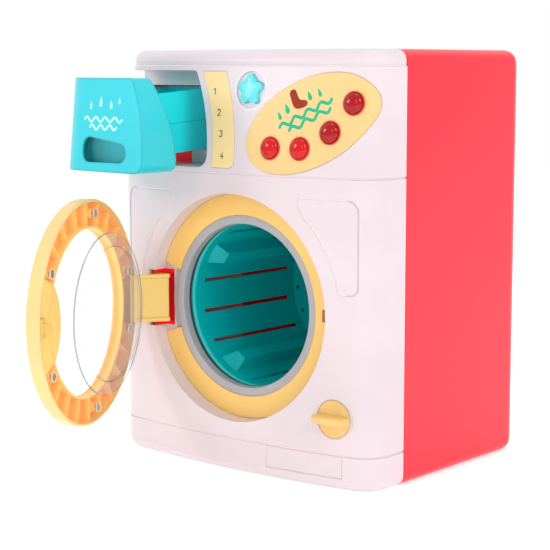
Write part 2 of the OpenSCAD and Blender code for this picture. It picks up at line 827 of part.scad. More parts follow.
module selector_switch() {
    y0 = knob_y + 1.4 + wall;
    color([0.25, 0.25, 0.27]) place() difference() {
        union() {
            through(y0, y0 + 11) translate([knob_x, knob_z]) circle(r = 10, $fn = 60);
            for (s = [-1, 1]) translate([knob_x + s * 8 - 1, y0 + 10, knob_z - 1.5]) cube([2, 5, 3]);
        }
        through(y0 - over, y0 + 10) translate([knob_x, knob_z]) circle(r = 3 + run_fit, $fn = 48);
    }
}

// Bracket behind the recess that holds the door's pin
knuckle_r = 3.85;
lug_t = 2.2;
// Front face of the bracket's tongues, level with the ring on the recess floor
tongue_y = recess_y - ring_t + 0.9;
module hinge_bracket() {
    z_top = port_z + arm_h / 2 + run_gap;
    z_low = port_z - arm_h / 2 - run_gap;
    back = hinge_y + 27;
    seat = recess_y + wall + 0.02;
    x0 = hinge_x - knuckle_r;
    x1 = arm_slot_x1 - 0.5;
    color([0.86, 0.1, 0.12]) place() difference() {
        union() {
            for (z = [z_top, z_low - lug_t]) translate([0, 0, z]) linear_extrude(lug_t) {
                translate([hinge_x, hinge_y]) circle(r = knuckle_r, $fn = 40);
                translate([x0, hinge_y]) square([2 * knuckle_r, back - hinge_y]);
                translate([x0, recess_y + 1]) square([x1 - x0, back - recess_y - 1]);
                // Tongue that fills the slot above and below the arm
                translate([arm_slot_x0 + run_gap, tongue_y])
                    square([x1 - arm_slot_x0 - run_gap, back - tongue_y]);
            }
            // Back plate that closes the slot from behind
            translate([x0, back, z_low - lug_t]) cube([x1 - x0, 2, z_top - z_low + 2 * lug_t]);
            // Ears that lie against the back of the recess floor
            for (z = [z_top + lug_t - 0.02, z_low - lug_t - 7.98])
                translate([-77, seat, z]) cube([10, 3, 8]);
        }
        translate([hinge_x, hinge_y, z_low - lug_t - over])
            cylinder(r = hinge_pin_r + 0.01, h = arm_h + 2 * lug_t + 2 * over + 2, $fn = 40);
        through(0, hinge_y + 40) translate([0, port_z]) circle(r = ring_in_r + 5.4, $fn = 120);
    }
}

module hinge_pin() {
    color([0.75, 0.75, 0.78]) place()
        translate([hinge_x, hinge_y, port_z - arm_h / 2 - run_gap - lug_t])
            cylinder(r = hinge_pin_r, h = arm_h + 2 * run_gap + 2 * lug_t, $fn = 40);
}

// Turns what is drawn shut into the open pose
module door_pose() {
    place() translate([hinge_x, hinge_y, 0]) rotate([0, 0, -door_open])
        translate([-hinge_x, -hinge_y, 0]) children();
}

// Plan of the arm, drawn shut, from the pin round the lip of the recess to the ring
arm_points = [[0, 0], [8.8, 20.2], [22.6, 0.6]];
module arm_bar(p, q, t) {
    d = q - p;
    translate(p) rotate(atan2(d[1], d[0])) translate([0, -t / 2]) square([norm(d), t]);
}
module arm_plan(t) {
    arm_bar(arm_points[0], arm_points[1], t);
    arm_bar(arm_points[1], arm_points[2], t);
    translate(arm_points[1]) circle(r = t / 2, $fn = 32);
}
foot_x0 = 20.4;
foot_x1 = 27;
module hinge_arm() {
    flange = 2.6;
    color([0.97, 0.82, 0.5]) door_pose() translate([hinge_x, hinge_y, 0]) difference() {
        union() {
            translate([0, 0, port_z - arm_h / 2]) linear_extrude(arm_h) arm_plan(arm_t);
            for (z = [port_z - arm_h / 2, port_z + arm_h / 2 - flange])
                translate([0, 0, z]) linear_extrude(flange) arm_plan(arm_t + 1.6);
            translate([0, 0, port_z - arm_h / 2]) cylinder(r = knuckle_r - 0.4, h = arm_h, $fn = 40);
            // Foot that fills the door ring's channel
            translate([foot_x0, door_y + 2.05 - hinge_y, port_z - arm_h / 2])
                cube([foot_x1 - foot_x0, door_t - 2.05 + 0.3, arm_h]);
        }
        translate([0, 0, port_z - arm_h]) cylinder(r = hinge_pin_r + run_fit, h = 2 * arm_h, $fn = 40);
    }
}

// Door ring: a channel open towards the machine, with ribs, screw posts and a grip
ring_wall = 2;
rib_n = 24;
grip_r = 41.3;
grip_in = 12;
grip_cover_a = 26;
door_screw_a = [30, 97, 162, 198, 263, 330];
module door_ring() {
    r = door_r;
    color([0.97, 0.78, 0.45]) door_pose() translate([0, door_y, port_z]) difference() {
        union() {
            rotate([-90, 0, 0]) rotate_extrude($fn = 120) polygon(concat(
                [[door_in_r, 0.8], [door_in_r + 0.8, 0]],
                [for (i = [0:4]) [r - 3 + 3 * sin(22.5 * i), 3 - 3 * cos(22.5 * i)]],
                [[r, door_t - 1], [r - 0.8, door_t], [r - ring_wall, door_t],
                    [r - ring_wall, ring_wall], [door_in_r + 1.6, ring_wall],
                    [door_in_r + 1.6, door_t - window_t - 0.1], [door_in_r, door_t - window_t - 0.1]]));
            for (i = [0:rib_n - 1]) if (abs(360 / rib_n * i - 180) > 14
                && abs(360 / rib_n * i - 180) < 180 - grip_cover_a)
                rotate([0, -360 / rib_n * i, 0])
                    translate([door_in_r + 1, ring_wall - 0.05, -0.5])
                        cube([r - door_in_r - 2.5, door_t - ring_wall - window_t - 0.35, 1]);
            for (a = door_screw_a)
                rotate([0, -a, 0])
                    translate([(door_in_r + r) / 2, ring_wall - 0.05, 0]) rotate([-90, 0, 0])
                        cylinder(r = 3, h = door_t - ring_wall - window_t - 0.05, $fn = 32);
            // Cover behind the grip
            intersection() {
                rotate([-90, 0, 0]) rotate_extrude($fn = 120)
                    translate([door_in_r + 0.8, door_t - window_t - 1.6])
                        square([r - door_in_r - ring_wall - 0.7, 1.25]);
                difference() {
                    rotate([90, 0, 0]) translate([0, 0, -door_t]) linear_extrude(door_t)
                        polygon([[0, 0], [half_w, half_w * tan(grip_cover_a)],
                            [half_w, -half_w * tan(grip_cover_a)]]);
                    translate([r - ring_wall - 7.6, 0, -6.4]) cube([8, door_t + 1, 12.8]);
                }
            }
            // Grip on the free side
            intersection() {
                translate([door_in_r + grip_r - grip_in, 0, 0]) rotate([-90, 0, 0])
                    cylinder(r = grip_r, h = ring_wall, $fn = 96);
                rotate([-90, 0, 0]) cylinder(r = door_in_r + 0.5, h = ring_wall, $fn = 120);
            }
        }
        for (a = door_screw_a)
            rotate([0, -a, 0])
                translate([(door_in_r + r) / 2, ring_wall + 0.5, 0]) rotate([-90, 0, 0])
                    cylinder(r = 1.2, h = door_t, $fn = 24);
    }
}

// Clear window: a flange on the ring's back and a bowl that reaches into the port
module door_window() {
    f = door_t - window_t;
    fr = door_r - ring_wall - 0.3;
    far = door_t + bowl_h;
    t = window_t;
    // Fine line round the bowl's flat face
    line_r = bowl_r * 0.82;
    color([0.9, 0.95, 1, 0.35]) door_pose() translate([0, door_y, port_z]) difference() {
        rotate([-90, 0, 0]) rotate_extrude($fn = 120) polygon([
            [0, far], [line_r, far], [line_r + 0.5, far - 0.5], [line_r + 1, far],
            [bowl_r - 4.5, far], [bowl_r - 1.4, far - 1], [bowl_r, far - 3.6],
            [door_in_r - 1.5, door_t + 1], [door_in_r - 0.8, door_t], [fr, door_t], [fr, f],
            [door_in_r - 2.6, f], [bowl_r - t, far - 4.5], [bowl_r - t - 2, far - 2.6],
            [bowl_r - 7, far - t], [0, far - t]]);
        // Notch for the hinge arm's foot
        translate([hinge_x + foot_x0 - 4, -over, -arm_h / 2 - 0.3])
            cube([foot_x1 - foot_x0 + 4.3, door_t + 3, arm_h + 0.6]);
        for (a = door_screw_a)
            rotate([0, -a, 0])
                translate([(door_in_r + door_r) / 2, 0, 0]) rotate([-90, 0, 0])
                    cylinder(r = 1.5, h = door_t + 5, $fn = 24);
        // Notch for the latch
        translate([door_r - 10, -over, -7.2]) cube([12, door_t + 3, 14.4]);
    }
}

module door_screws() {
    color([0.72, 0.68, 0.62]) door_pose() translate([0, door_y, port_z])
        for (a = door_screw_a) rotate([0, -a, 0])
            translate([(door_in_r + door_r) / 2, 0, 0]) rotate([-90, 0, 0]) difference() {
                union() {
                    translate([0, 0, ring_wall + 0.8])
                        cylinder(r = 1.15, h = door_t - ring_wall - 0.6, $fn = 20);
                    translate([0, 0, door_t + 0.02]) cylinder(r = 2.3, h = 0.7, $fn = 28);
                }
                translate([-0.35, -1.6, door_t + 0.35]) cube([0.7, 3.2, 1]);
                translate([-1.6, -0.35, door_t + 0.35]) cube([3.2, 0.7, 1]);
            }
}

// Hooked tab on the door's free side
latch_h = catch_h - 1.6;
module door_latch() {
    color([0.97, 0.82, 0.5]) door_pose() translate([0, 0, port_z]) {
        translate([door_r - ring_wall - 7.2, door_y + ring_wall + 0.02, -6])
            cube([6.8, door_t - ring_wall, 12]);
        translate([catch_x - 0.9, door_back_y - 0.5, -latch_h / 2]) cube([1.4, 5.4, latch_h]);
        translate([catch_x - 0.9, door_back_y + 3.4, -latch_h / 2]) cube([1.9, 1.5, latch_h]);
    }
}

// Springy catch behind the slot on the free side
module latch_catch() {
    y0 = recess_y + wall;
    color([0.86, 0.1, 0.12]) place() {
        translate([catch_x + 1.9, y0, port_z - 6]) cube([1.4, 9, 12]);
        translate([catch_x - catch_leg, y0 + 9, port_z - 6]) cube([catch_leg + 3.3, 1.4, 12]);
        translate([catch_x - catch_leg, y0, port_z - 6]) cube([1.2, 9.2, 12]);
    }
}

// Drawer
module drawer_pose() {
    translate([0, -drawer_out, -drawer_out * tan(drawer_slope)]) place() children();
}

// Leans what is drawn level along the drawer's sloped run
module drawer_run() {
    translate([0, drawer_back_y, box_z0]) rotate([drawer_slope, 0, 0])
        translate([0, -drawer_back_y, -box_z0]) children();
}

// Rounds the left end of the drawer front, along the lean of the panel
drawer_side_in = 1.5;
module drawer_corner(g) {
    r = drawer_corner_r - g;
    t = asin((half_w - drawer_side_in - drawer_corner_r) / (crown_r - drawer_corner_r));
    cx = -(crown_r - drawer_corner_r) * sin(t);
    cy = crown_r - (crown_r - drawer_corner_r) * cos(t);
    translate([0, 0, panel_z]) rotate([-panel_lean, 0, 0]) translate([0, 0, -20])
        linear_extrude(panel_h + 40) {
            translate([cx, cy]) circle(r = r, $fn = 96);
            translate([cx - r * sin(t), -20]) square([body_w, 20 + cy + 30]);
            translate([cx - r, cy]) square([body_w, 60]);
        }
}

rear_arc = 200;
rear_arc_z = 206;
block_back = drawer_back_y - 1.7;
// Room under the drawer front, which drops along its run while it is still in the opening
drawer_low = max(0, (block_back - 3) * tan(drawer_slope) - drawer_gap + 0.3);
module drawer_core(g) {
    intersection() {
        through(-20, seam_y) opening_outline(drawer_gap + g, drawer_low);
        lean_prism(g, panel_z - 1, cap_z, seam_y);
        drawer_corner(g);
    }
}

module drawer_form(g) {
    intersection() {
        drawer_core(g);
        translate([-half_w - 5, 0, 0]) rotate([90, 0, 90]) linear_extrude(body_w)
            polygon(concat([[-20, panel_z - 2], [-20, cap_z + 2]],
                [for (i = [0:12]) let (z = cap_z + 2 - i * (panel_h + 4) / 12)
                    [block_back - rear_arc + sqrt(rear_arc * rear_arc - pow(z - rear_arc_z, 2)), z]]));
    }
}

pocket_x = -60;
pocket_z = 218.8;
module drawer_front() {
    t = 2;
    color([0.43, 0.9, 0.95]) drawer_pose() difference() {
        union() {
            difference() {
                drawer_form(0);
                // Hollow from behind
                drawer_core(t);
            }
            // Back panel that carries the box
            intersection() {
                drawer_form(0.3);
                drawer_run() difference() {
                    translate([-half_w, block_back - 10, 0]) cube([body_w, 2, body_h]);
                    translate([box_x0 + 8, block_back - 11, box_z0 + 12])
                        cube([box_w - 16, 4, box_h - 24]);
                }
            }
            // Walls of the finger pocket
            intersection() {
                drawer_form(0.3);
                pocket_form(1.8);
            }
        }
        pocket_form(0);
        drawer_run() for (z = [box_z0 + 8, box_z1 - 8])
            through(block_back - 12, block_back - 6) translate([(box_x0 + box_x1) / 2, z])
                circle(r = 1.45, $fn = 24);
    }
}

// Oblong finger pocket, taller towards the outer side
module pocket_form(g) {
    hull() {
        for (z = [-1.5, 1.8]) translate([pocket_x - 15.5, -5, pocket_z + z]) rotate([-90, 0, 0])
            cylinder(r = 6.6 + g, h = 17 + g, $fn = 32);
        translate([pocket_x + 15.5, -5, pocket_z - 1.5]) rotate([-90, 0, 0])
            cylinder(r = 6.2 + g, h = 15 + g, $fn = 32);
    }
}

box_front_y = block_back - 7.95;
module drawer_box() {
    color([0.22, 0.85, 0.88]) drawer_pose() drawer_run() difference() {
        translate([box_x0, box_front_y, box_z0]) cube([box_w, box_l, box_h]);
        translate([box_x0 + box_t, box_front_y + box_t, box_z0 + box_t])
            cube([box_w - 2 * box_t, box_l - 2 * box_t, box_h]);
        for (z = [box_z0 + 8, box_z1 - 8])
            through(box_front_y - over, box_front_y + box_t + over)
                translate([(box_x0 + box_x1) / 2, z]) circle(r = 1.5, $fn = 24);
        // Fine line along the side
        translate([box_x1 - 0.4, box_front_y - over, box_z0 + box_h * 0.48])
            cube([1, box_l + 2 * over, 0.6]);
    }
}

module drawer_screws() {
    color([0.7, 0.7, 0.72]) drawer_pose() drawer_run() for (z = [box_z0 + 8, box_z1 - 8])
        translate([(box_x0 + box_x1) / 2, box_front_y - 1.9, z]) rotate([-90, 0, 0]) {
            cylinder(r = 1.4, h = box_t + 2, $fn = 24);
            translate([0, 0, box_t + 1.95]) cylinder(r = 2.8, h = 1.2, $fn = 32);
        }
}

// Shelf and side rails that the box slides on
module drawer_guide() {
    rail_h = 22;
    y0 = drawer_back_y + wall + 0.2 + rail_h * sin(drawer_slope);
    l = 92;
    g = run_gap * 0.6;
    color([0.93, 0.1, 0.14]) place() drawer_run() {
        // Front lip, seen through the notch under the box
        translate([-97, drawer_back_y + wall + 0.25, opening_z0 - 1]) cube([33, 2, box_z0 - g - opening_z0]);
        for (x = [box_x0 - g - 3, box_x1 + g]) {
            translate([x, y0, box_z0 - g - 2.4]) cube([3, l, rail_h]);
        }
        difference() {
            translate([box_x0 - g - 3, y0, box_z0 - g - 2.4])
                cube([box_w + 2 * g + 6, l, 2.4]);
            translate([box_x0 + 12, y0 + 4, box_z0 - 10]) cube([box_w - 24, l - 15, 20]);
        }
        // Brackets out to the side wall
        for (y = [y0 + 20, y0 + 70])
            translate([-half_w + wall, y, box_z0 - g - 2.4]) cube([box_x0 - g - 2.9 + half_w - wall, 3, 18]);
    }
}

// Drum: how far the slots begin behind its mouth and end before its back
slot_y = 11;
slot_end = 6;
module drum_shell() {
    slot_a = 360 / (lifters * (slots_between + 1));
    color([0.05, 0.7, 0.7]) place() translate([0, 0, port_z]) difference() {
        union() {
            rotate([-90, 0, 0]) rotate_extrude($fn = 144) polygon([
                [drum_r, drum_y + 1], [drum_r + 0.6, drum_y], [drum_r + drum_wall + 0.6, drum_y],
                [drum_r + drum_wall + 0.6, drum_y + 3], [drum_r + drum_wall, drum_y + 3.6],
                [drum_r + drum_wall, drum_y + drum_l], [drum_r, drum_y + drum_l]]);
            for (i = [0:lifters - 1]) rotate([0, -(lifter_a + 360 / lifters * i), 0]) lifter();
        }
        for (i = [0:lifters - 1]) drum_screw_at(i)
            translate([0, 0, drum_back_y - 3.5]) cylinder(r = drum_screw_r + 0.05, h = 10, $fn = 24);
        for (i = [0:lifters - 1]) for (j = [1:slots_between])
            rotate([0, -(lifter_a + 360 / lifters * i + slot_a * j), 0])
                translate([drum_r - 3, drum_y + slot_y, -slot_w / 2])
                    cube([drum_wall + 6, drum_l - slot_y - slot_end, slot_w]);
    }
}

// A lifter with sloped flanks and a sloped front end, drawn along the right side
module lifter() {
    foot = lifter_w / 2;
    top = lifter_w / 4;
    r = drum_r + 0.4;
    y0 = drum_y + 8;
    difference() {
        translate([0, drum_y + drum_l - 0.5, 0]) rotate([90, 0, 0]) linear_extrude(drum_l - 8.5)
            polygon([[r, -foot], [r, foot], [r - lifter_h, top], [r - lifter_h, -top]]);
        translate([r, y0, -foot - over]) rotate([0, 0, 130])
            cube([3 * lifter_h, 3 * lifter_h, 2 * foot + 2 * over]);
    }
}

drum_back_y = drum_y + drum_l - 4;
// Where a screw holds the back to the end of a lifter
drum_screw_r = 1.2;
module drum_screw_at(i) {
    rotate([0, -(lifter_a + 360 / lifters * i), 0]) translate([drum_r - 3.5, 0, 0])
        rotate([-90, 0, 0]) children();
}

module drum_back() {
    color([0.05, 0.62, 0.62]) place() translate([0, 0, port_z]) difference() {
        union() {
            rotate([-90, 0, 0]) translate([0, 0, drum_back_y + 4.05])
                cylinder(r = drum_r + drum_wall, h = 2, $fn = 144);
            rotate([-90, 0, 0]) translate([0, 0, drum_back_y + 1.5])
                cylinder(r = 14, h = 4, $fn = 60);
        }
        for (i = [0:7]) rotate([0, 45 * i, 0]) translate([drum_r * 0.5, 0, 0]) rotate([-90, 0, 0])
            cylinder(r = 2, h = body_d, $fn = 20);
        // Ring of small holes along the edge
        for (i = [0:17]) let (a = 20 * i + 5, off = (a - lifter_a + 360) % (360 / lifters))
            if (min(off, 360 / lifters - off) > 10)
                rotate([0, -a, 0]) translate([drum_r - 4.6, 0, 0]) rotate([-90, 0, 0])
                    cylinder(r = 1.3, h = body_d, $fn = 16);
        rotate([-90, 0, 0]) translate([0, 0, drum_back_y + 3])
            cylinder(r = shaft_r + 0.01, h = 6, $fn = 48);
        for (i = [0:lifters - 1]) drum_screw_at(i)
            cylinder(r = drum_screw_r + 0.05, h = body_d, $fn = 24);
    }
}

module drum_shaft() {
    color([0.75, 0.75, 0.78]) place() translate([0, drum_back_y + 3, port_z]) rotate([-90, 0, 0])
        cylinder(r = shaft_r, h = gear_y + gear_w + 2 - drum_back_y - 3, $fn = 48);
}

module drum_screws() {
    color([0.7, 0.7, 0.72]) place() translate([0, 0, port_z]) for (i = [0:lifters - 1])
        drum_screw_at(i) {
            translate([0, 0, drum_back_y - 3]) cylinder(r = drum_screw_r, h = 9.2, $fn = 24);
            translate([0, 0, drum_back_y + 6.1]) cylinder(r = 2.4, h = 1.2, $fn = 28);
        }
}

module drum_bearing() {
    y0 = bulkhead_y - 2;
    color([0.85, 0.75, 0.4]) place() translate([0, 0, port_z]) rotate([-90, 0, 0]) difference() {
        union() {
            translate([0, 0, y0]) cylinder(r = 8.5, h = 1.95, $fn = 60);
            translate([0, 0, y0]) cylinder(r = 6.5, h = bulkhead_t + 3, $fn = 60);
        }
        translate([0, 0, y0 - over]) cylinder(r = shaft_r + run_fit, h = 12, $fn = 48);
    }
}

module drum_bulkhead() {
    w = half_w - wall - 0.1;
    color([0.8, 0.2, 0.24]) place() difference() {
        union() {
            translate([-w, bulkhead_y, bottom_r + 0.5]) cube([2 * w, bulkhead_t, 190]);
            for (s = [-1, 1]) translate([s * 60 - 1.5, bulkhead_y - 4, 30]) cube([3, 4.1, 150]);
        }
        through(bulkhead_y - over, bulkhead_y + bulkhead_t + over) translate([0, port_z])
            circle(r = 6.55, $fn = 60);
        // Room for the posts of the rear housing
        for (p = housing_screw_places)
            through(bulkhead_y - over, bulkhead_y + bulkhead_t + over) translate(p)
                circle(r = 5.5, $fn = 36);
    }
}

// Involute tooth form
function inv_point(rb, t) = [rb * (cos(t) + t * PI / 180 * sin(t)), rb * (sin(t) - t * PI / 180 * cos(t))];
function rot2(p, a) = [p[0] * cos(a) - p[1] * sin(a), p[0] * sin(a) + p[1] * cos(a)];
module gear_outline(n, m, play) {
    rp = m * n / 2;
    rb = rp * cos(20);
    ra = rp + m * 0.95;
    rf = rp - m * 1.25;
    ta = sqrt(ra * ra / (rb * rb) - 1) * 180 / PI;
    tp = sqrt(rp * rp / (rb * rb) - 1) * 180 / PI;
    half = 90 / n + tp - atan(tp * PI / 180) - play / rp * 90 / PI;
    flank = [for (i = [0:4]) inv_point(rb, ta * i / 4)];
    polygon([for (k = [0:n - 1]) each let (c = 360 / n * k) concat(
        [rot2([rf, 0], c - half - 0.3)],
        [for (i = [0:4]) rot2(flank[i], c - half)],
        [for (i = [4:-1:0]) rot2([flank[i][0], -flank[i][1]], c + half)],
        [rot2([rf, 0], c + half + 0.3)])]);
}

module drum_gear() {
    color([0.9, 0.9, 0.86]) place() translate([0, gear_y + gear_w, port_z]) rotate([90, 0, 0])
        difference() {
            linear_extrude(gear_w) gear_outline(gear_teeth, gear_m, 0.15);
            translate([0, 0, -over]) cylinder(r = shaft_r + 0.01, h = gear_w + 2 * over, $fn = 48);
            for (i = [0:5]) rotate(60 * i) translate([gear_rp * 0.55, 0, -over])
                cylinder(r = 5, h = gear_w + 2 * over, $fn = 32);
        }
}

// The pinion below the gear, turned so that a gap faces the gear's tooth
module motor_pinion() {
    mesh = 90 + (gear_teeth % 4 == 0 ? 180 / pinion_teeth : 0);
    color([0.92, 0.92, 0.9]) place() {
        translate([0, gear_y + gear_w, motor_z]) rotate([90, 0, 0]) rotate(mesh) difference() {
            linear_extrude(gear_w) gear_outline(pinion_teeth, gear_m, 0.15);
        }
        translate([0, gear_y + gear_w - 0.05, motor_z]) rotate([-90, 0, 0])
            cylinder(r = 1.5, h = motor_y - gear_y - gear_w + 3, $fn = 32);
    }
}

module motor() {
    l = back_y - motor_y - 0.6;
    color([0.6, 0.62, 0.64]) place() translate([0, motor_y, motor_z]) rotate([-90, 0, 0]) difference() {
        union() {
            intersection() {
                cylinder(r = motor_r, h = l, $fn = 72);
                translate([-motor_r, -9.6, 0]) cube([2 * motor_r, 19.2, l]);
            }
        }
        translate([0, 0, -over]) cylinder(r = 1.5 + run_fit, h = 4 + over, $fn = 32);
    }
}

module motor_mount() {
    t = 1.8;
    y0 = bulkhead_y + bulkhead_t;
    y1 = motor_y - 0.02;
    color([0.8, 0.2, 0.24]) place() difference() {
        union() {
            translate([-26, y1 - t, motor_z - 13]) cube([52, t, 21]);
            for (s = [-1, 1]) translate([s * 22, y0, motor_z - 9]) rotate([-90, 0, 0])
                cylinder(r = 3.6, h = y1 - y0, $fn = 32);
        }
        translate([0, y0 - over, motor_z]) rotate([-90, 0, 0]) cylinder(r = 5, h = 30, $fn = 40);
        translate([0, gear_y - 1, port_z]) rotate([-90, 0, 0])
            cylinder(r = gear_rp + 3, h = gear_w + 2, $fn = 72);
    }
}

cell_r = 7.1;
cell_l = 49.5;
cells = 3;
box_in_w = 56;
box_in_h = cells * 15.4;
module battery_box() {
    t = 1.5;
    y0 = back_y - 17.5;
    color([0.2, 0.2, 0.22]) place() difference() {
        translate([-box_in_w / 2 - t, y0, cover_z - box_in_h / 2 - t])
            cube([box_in_w + 2 * t, back_y - y0 - 0.05, box_in_h + 2 * t]);
        translate([-box_in_w / 2, y0 + t, cover_z - box_in_h / 2]) cube([box_in_w, 20, box_in_h]);
    }
}

function cell_z(i) = cover_z + 15.3 * (i - (cells - 1) / 2);
module batteries() {
    color([0.3, 0.45, 0.35]) place() for (i = [0:cells - 1])
        translate([-cell_l / 2 + 0.4, back_y - 8.4, cell_z(i)]) rotate([0, 90, 0]) {
            cylinder(r = cell_r, h = cell_l - 1, $fn = 40);
            translate([0, 0, cell_l - 1.05]) cylinder(r = 2.7, h = 1.05, $fn = 24);
        }
}

module battery_contacts() {
    color([0.8, 0.8, 0.82]) place() for (i = [0:cells - 1]) {
        translate([-box_in_w / 2 + 0.02, back_y - 13.5, cell_z(i) - 5]) cube([0.5, 10, 10]);
        translate([-box_in_w / 2 + 0.5, back_y - 8.4, cell_z(i)]) rotate([0, 90, 0])
            cylinder(r1 = 4, r2 = 2.4, h = 3.1, $fn = 24);
        translate([box_in_w / 2 - 0.52, back_y - 13.5, cell_z(i) - 5]) cube([0.5, 10, 10]);
        translate([box_in_w / 2 - 2.7, back_y - 8.4, cell_z(i)]) rotate([0, 90, 0])
            cylinder(r = 2.4, h = 2.2, $fn = 24);
    }
}

module battery_cover() {
    g = 0.3;
    color([0.99, 0.3, 0.36]) place() difference() {
        union() {
            translate([-cover_w / 2 + g, back_y + 0.05, cover_z - cover_h / 2 + g])
                cube([cover_w - 2 * g, wall - 0.05, cover_h - 2 * g]);
        }
        translate([0, body_d - 0.8, cover_z + cover_h / 2 - 7]) rotate([-90, 0, 0])
            cylinder(r = 3, h = 3, $fn = 32);
        for (i = [-2:2]) translate([-12, body_d - 0.6, cover_z - cover_h / 2 + 8 + 2.4 * i])
            cube([24, 1, 1]);
    }
}

module speaker() {
    color([0.15, 0.15, 0.16]) place() translate([speaker_x, back_y - 0.05, speaker_z])
        rotate([90, 0, 0]) rotate_extrude($fn = 72) polygon([
            [6, 3.2], [19, 0.8], [21, 0.8], [21, 0], [24, 0], [24, 2.4], [21, 2.6], [13, 9],
            [13, 15], [0, 15], [0, 3.2]]);
}

front_housing();
rear_housing();
port_ring();
door_gasket();
control_plate();
label_strip();
indicator_lenses();
indicator_leds();
plinth_panel();
hinge_bracket();
hinge_pin();
latch_catch();
drum_bulkhead();
drum_bearing();
motor();
motor_mount();
battery_box();
battery_cover();
batteries();
battery_contacts();
circuit_board();
speaker();
power_switch();
selector_switch();
drawer_guide();
housing_screws();
door_ring();
door_window();
door_screws();
hinge_arm();
door_latch();
drawer_front();
drawer_box();
drawer_screws();
drum_shell();
drum_back();
drum_shaft();
drum_gear();
drum_screws();
motor_pinion();
selector_knob();
star_button();
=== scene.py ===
import math

import bmesh
import bpy
from mathutils import Matrix, Vector


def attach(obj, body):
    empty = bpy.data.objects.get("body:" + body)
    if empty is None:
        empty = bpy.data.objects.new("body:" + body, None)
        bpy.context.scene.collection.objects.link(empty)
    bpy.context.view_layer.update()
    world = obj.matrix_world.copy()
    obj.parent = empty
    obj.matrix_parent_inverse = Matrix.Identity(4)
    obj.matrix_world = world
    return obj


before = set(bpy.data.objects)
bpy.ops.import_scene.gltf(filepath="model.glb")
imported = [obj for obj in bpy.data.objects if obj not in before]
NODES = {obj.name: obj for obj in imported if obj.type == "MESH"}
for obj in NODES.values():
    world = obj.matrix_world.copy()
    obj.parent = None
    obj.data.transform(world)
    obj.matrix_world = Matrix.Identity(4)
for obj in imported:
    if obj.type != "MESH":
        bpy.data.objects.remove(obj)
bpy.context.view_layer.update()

bl_info = {
    "name": "Toy washer looks",
    "version": (1, 0, 0),
    "blender": (4, 5, 0),
    "location": "3D View > Sidebar > Toy washer",
    "description": "Finishes, prints, trim and stage for the toy washing machine",
    "category": "Object",
}

MM = 0.001
FINISHES = {}
BLACK = (0.0, 0.0, 0.0)
SHARP_ANGLE = 32.0
WELD_REACH = 2e-6

# Sizes that the part's source also has, in millimetres
HALF_DEPTH = 89.5
CROWN_R = 695.18
PANEL_Z = 199.3
PANEL_LEAN = math.radians(6.5)
PORT_Z = 110.0
HINGE = (-90.0, -77.5, PORT_Z)
DOOR_OPEN = math.radians(69.0)
SEAL_FACE_Y = 13.4 - HALF_DEPTH
DRUM_FACE_Y = 24.0 - HALF_DEPTH
SEAMS = (22.5, PANEL_Z, 269.6)
STAR_X, STAR_Z = 12.6, 254.0
DRAWER_OUT = 61.0
DRAWER_SLOPE = math.radians(3.8)
DRAWER_DROP = DRAWER_OUT * math.tan(DRAWER_SLOPE)
OVAL_PROUD, STRIP_PROUD = 0.4, 0.2

# Where masks start and are full, and where they stop being full and end, in millimetres
# GROOVE_* and DISH_* bound the painted light in the front's grooves and the star's dish
GROOVE_SUNK = (0.12, 0.25, 4.0, 4.2)
GROOVE_ACROSS = (-91.8, -91.2, 91.2, 91.8)
GROOVE_UP = (7.0, 7.5, 200.0, 200.5)
RECESS_EDGE = (83.5, 84.0)
DISH_EDGE = (14.0, 13.6)
DISH_BACK = (-76.0, -77.0)
# WALL_* bound the painted glow on the back shell's inner faces
WALL_ACROSS = (110.1, 109.9)
WALL_BACK = (88.0, 87.8)
WALL_UP = (1.5, 1.7)
DRUM_RIM = (DRUM_FACE_Y + 3.0, DRUM_FACE_Y + 1.0)
# Depths where the painted shade in the seal's bore starts and is full
SEAL_BORE_SHADE = (SEAL_FACE_Y + 5.6, SEAL_FACE_Y + 6.6)
# POCKET_* bound the painted shade in the drawer's finger pocket
POCKET_SUNK = (0.3, 1.6, 8.0, 8.5)
POCKET_ACROSS = (-86.0, -85.5, -40.5, -40.0)
POCKET_UP = (205.5, 206.0, 223.0, 223.5)
POCKET_SHADE_FADE = (-78.0, -56.0)
# CHANNEL_* bound the painted shade and light in the door ring's channel
CHANNEL_EDGE = (72.3, 72.0)
CHANNEL_DEPTH = (-8.3, -7.9)
CHANNEL_SHADE_FADE = (-7.0, -2.8)
BOWL_RIM_EDGE = (50.5, 50.7)
BOWL_LINE_DEPTH = (14.0, 14.4)
BOWL_FACE_EDGE = (52.0, 51.5)
BOWL_FACE_DEPTH = (13.4, 13.8)
RIGHT_LAMPS_ACROSS = (66.0, 67.0)

# A middle and how far a mask reaches on both sides of it, in millimetres
# BOWL_RIM and BOWL_LINE place the clear bowl's painted dark refraction lines
BOWL_RIM = (13.2, 0.6)
BOWL_LINE = (43.96, 0.4)
SEAM_TINT_REACH, SEAM_LIGHT_REACH = 0.4, 0.47


def paint(red, green, blue):
    """A linear colour from screen values between 0 and 255."""

    def one(value):
        value /= 255
        return value / 12.92 if value <= 0.04045 else ((value + 0.055) / 1.055) ** 2.4

    return (one(red), one(green), one(blue))


def shade(colour, factor, lift=0.0):
    """A colour made darker or paler, never above white."""
    return tuple(min(1.0, level * factor + lift) for level in colour)


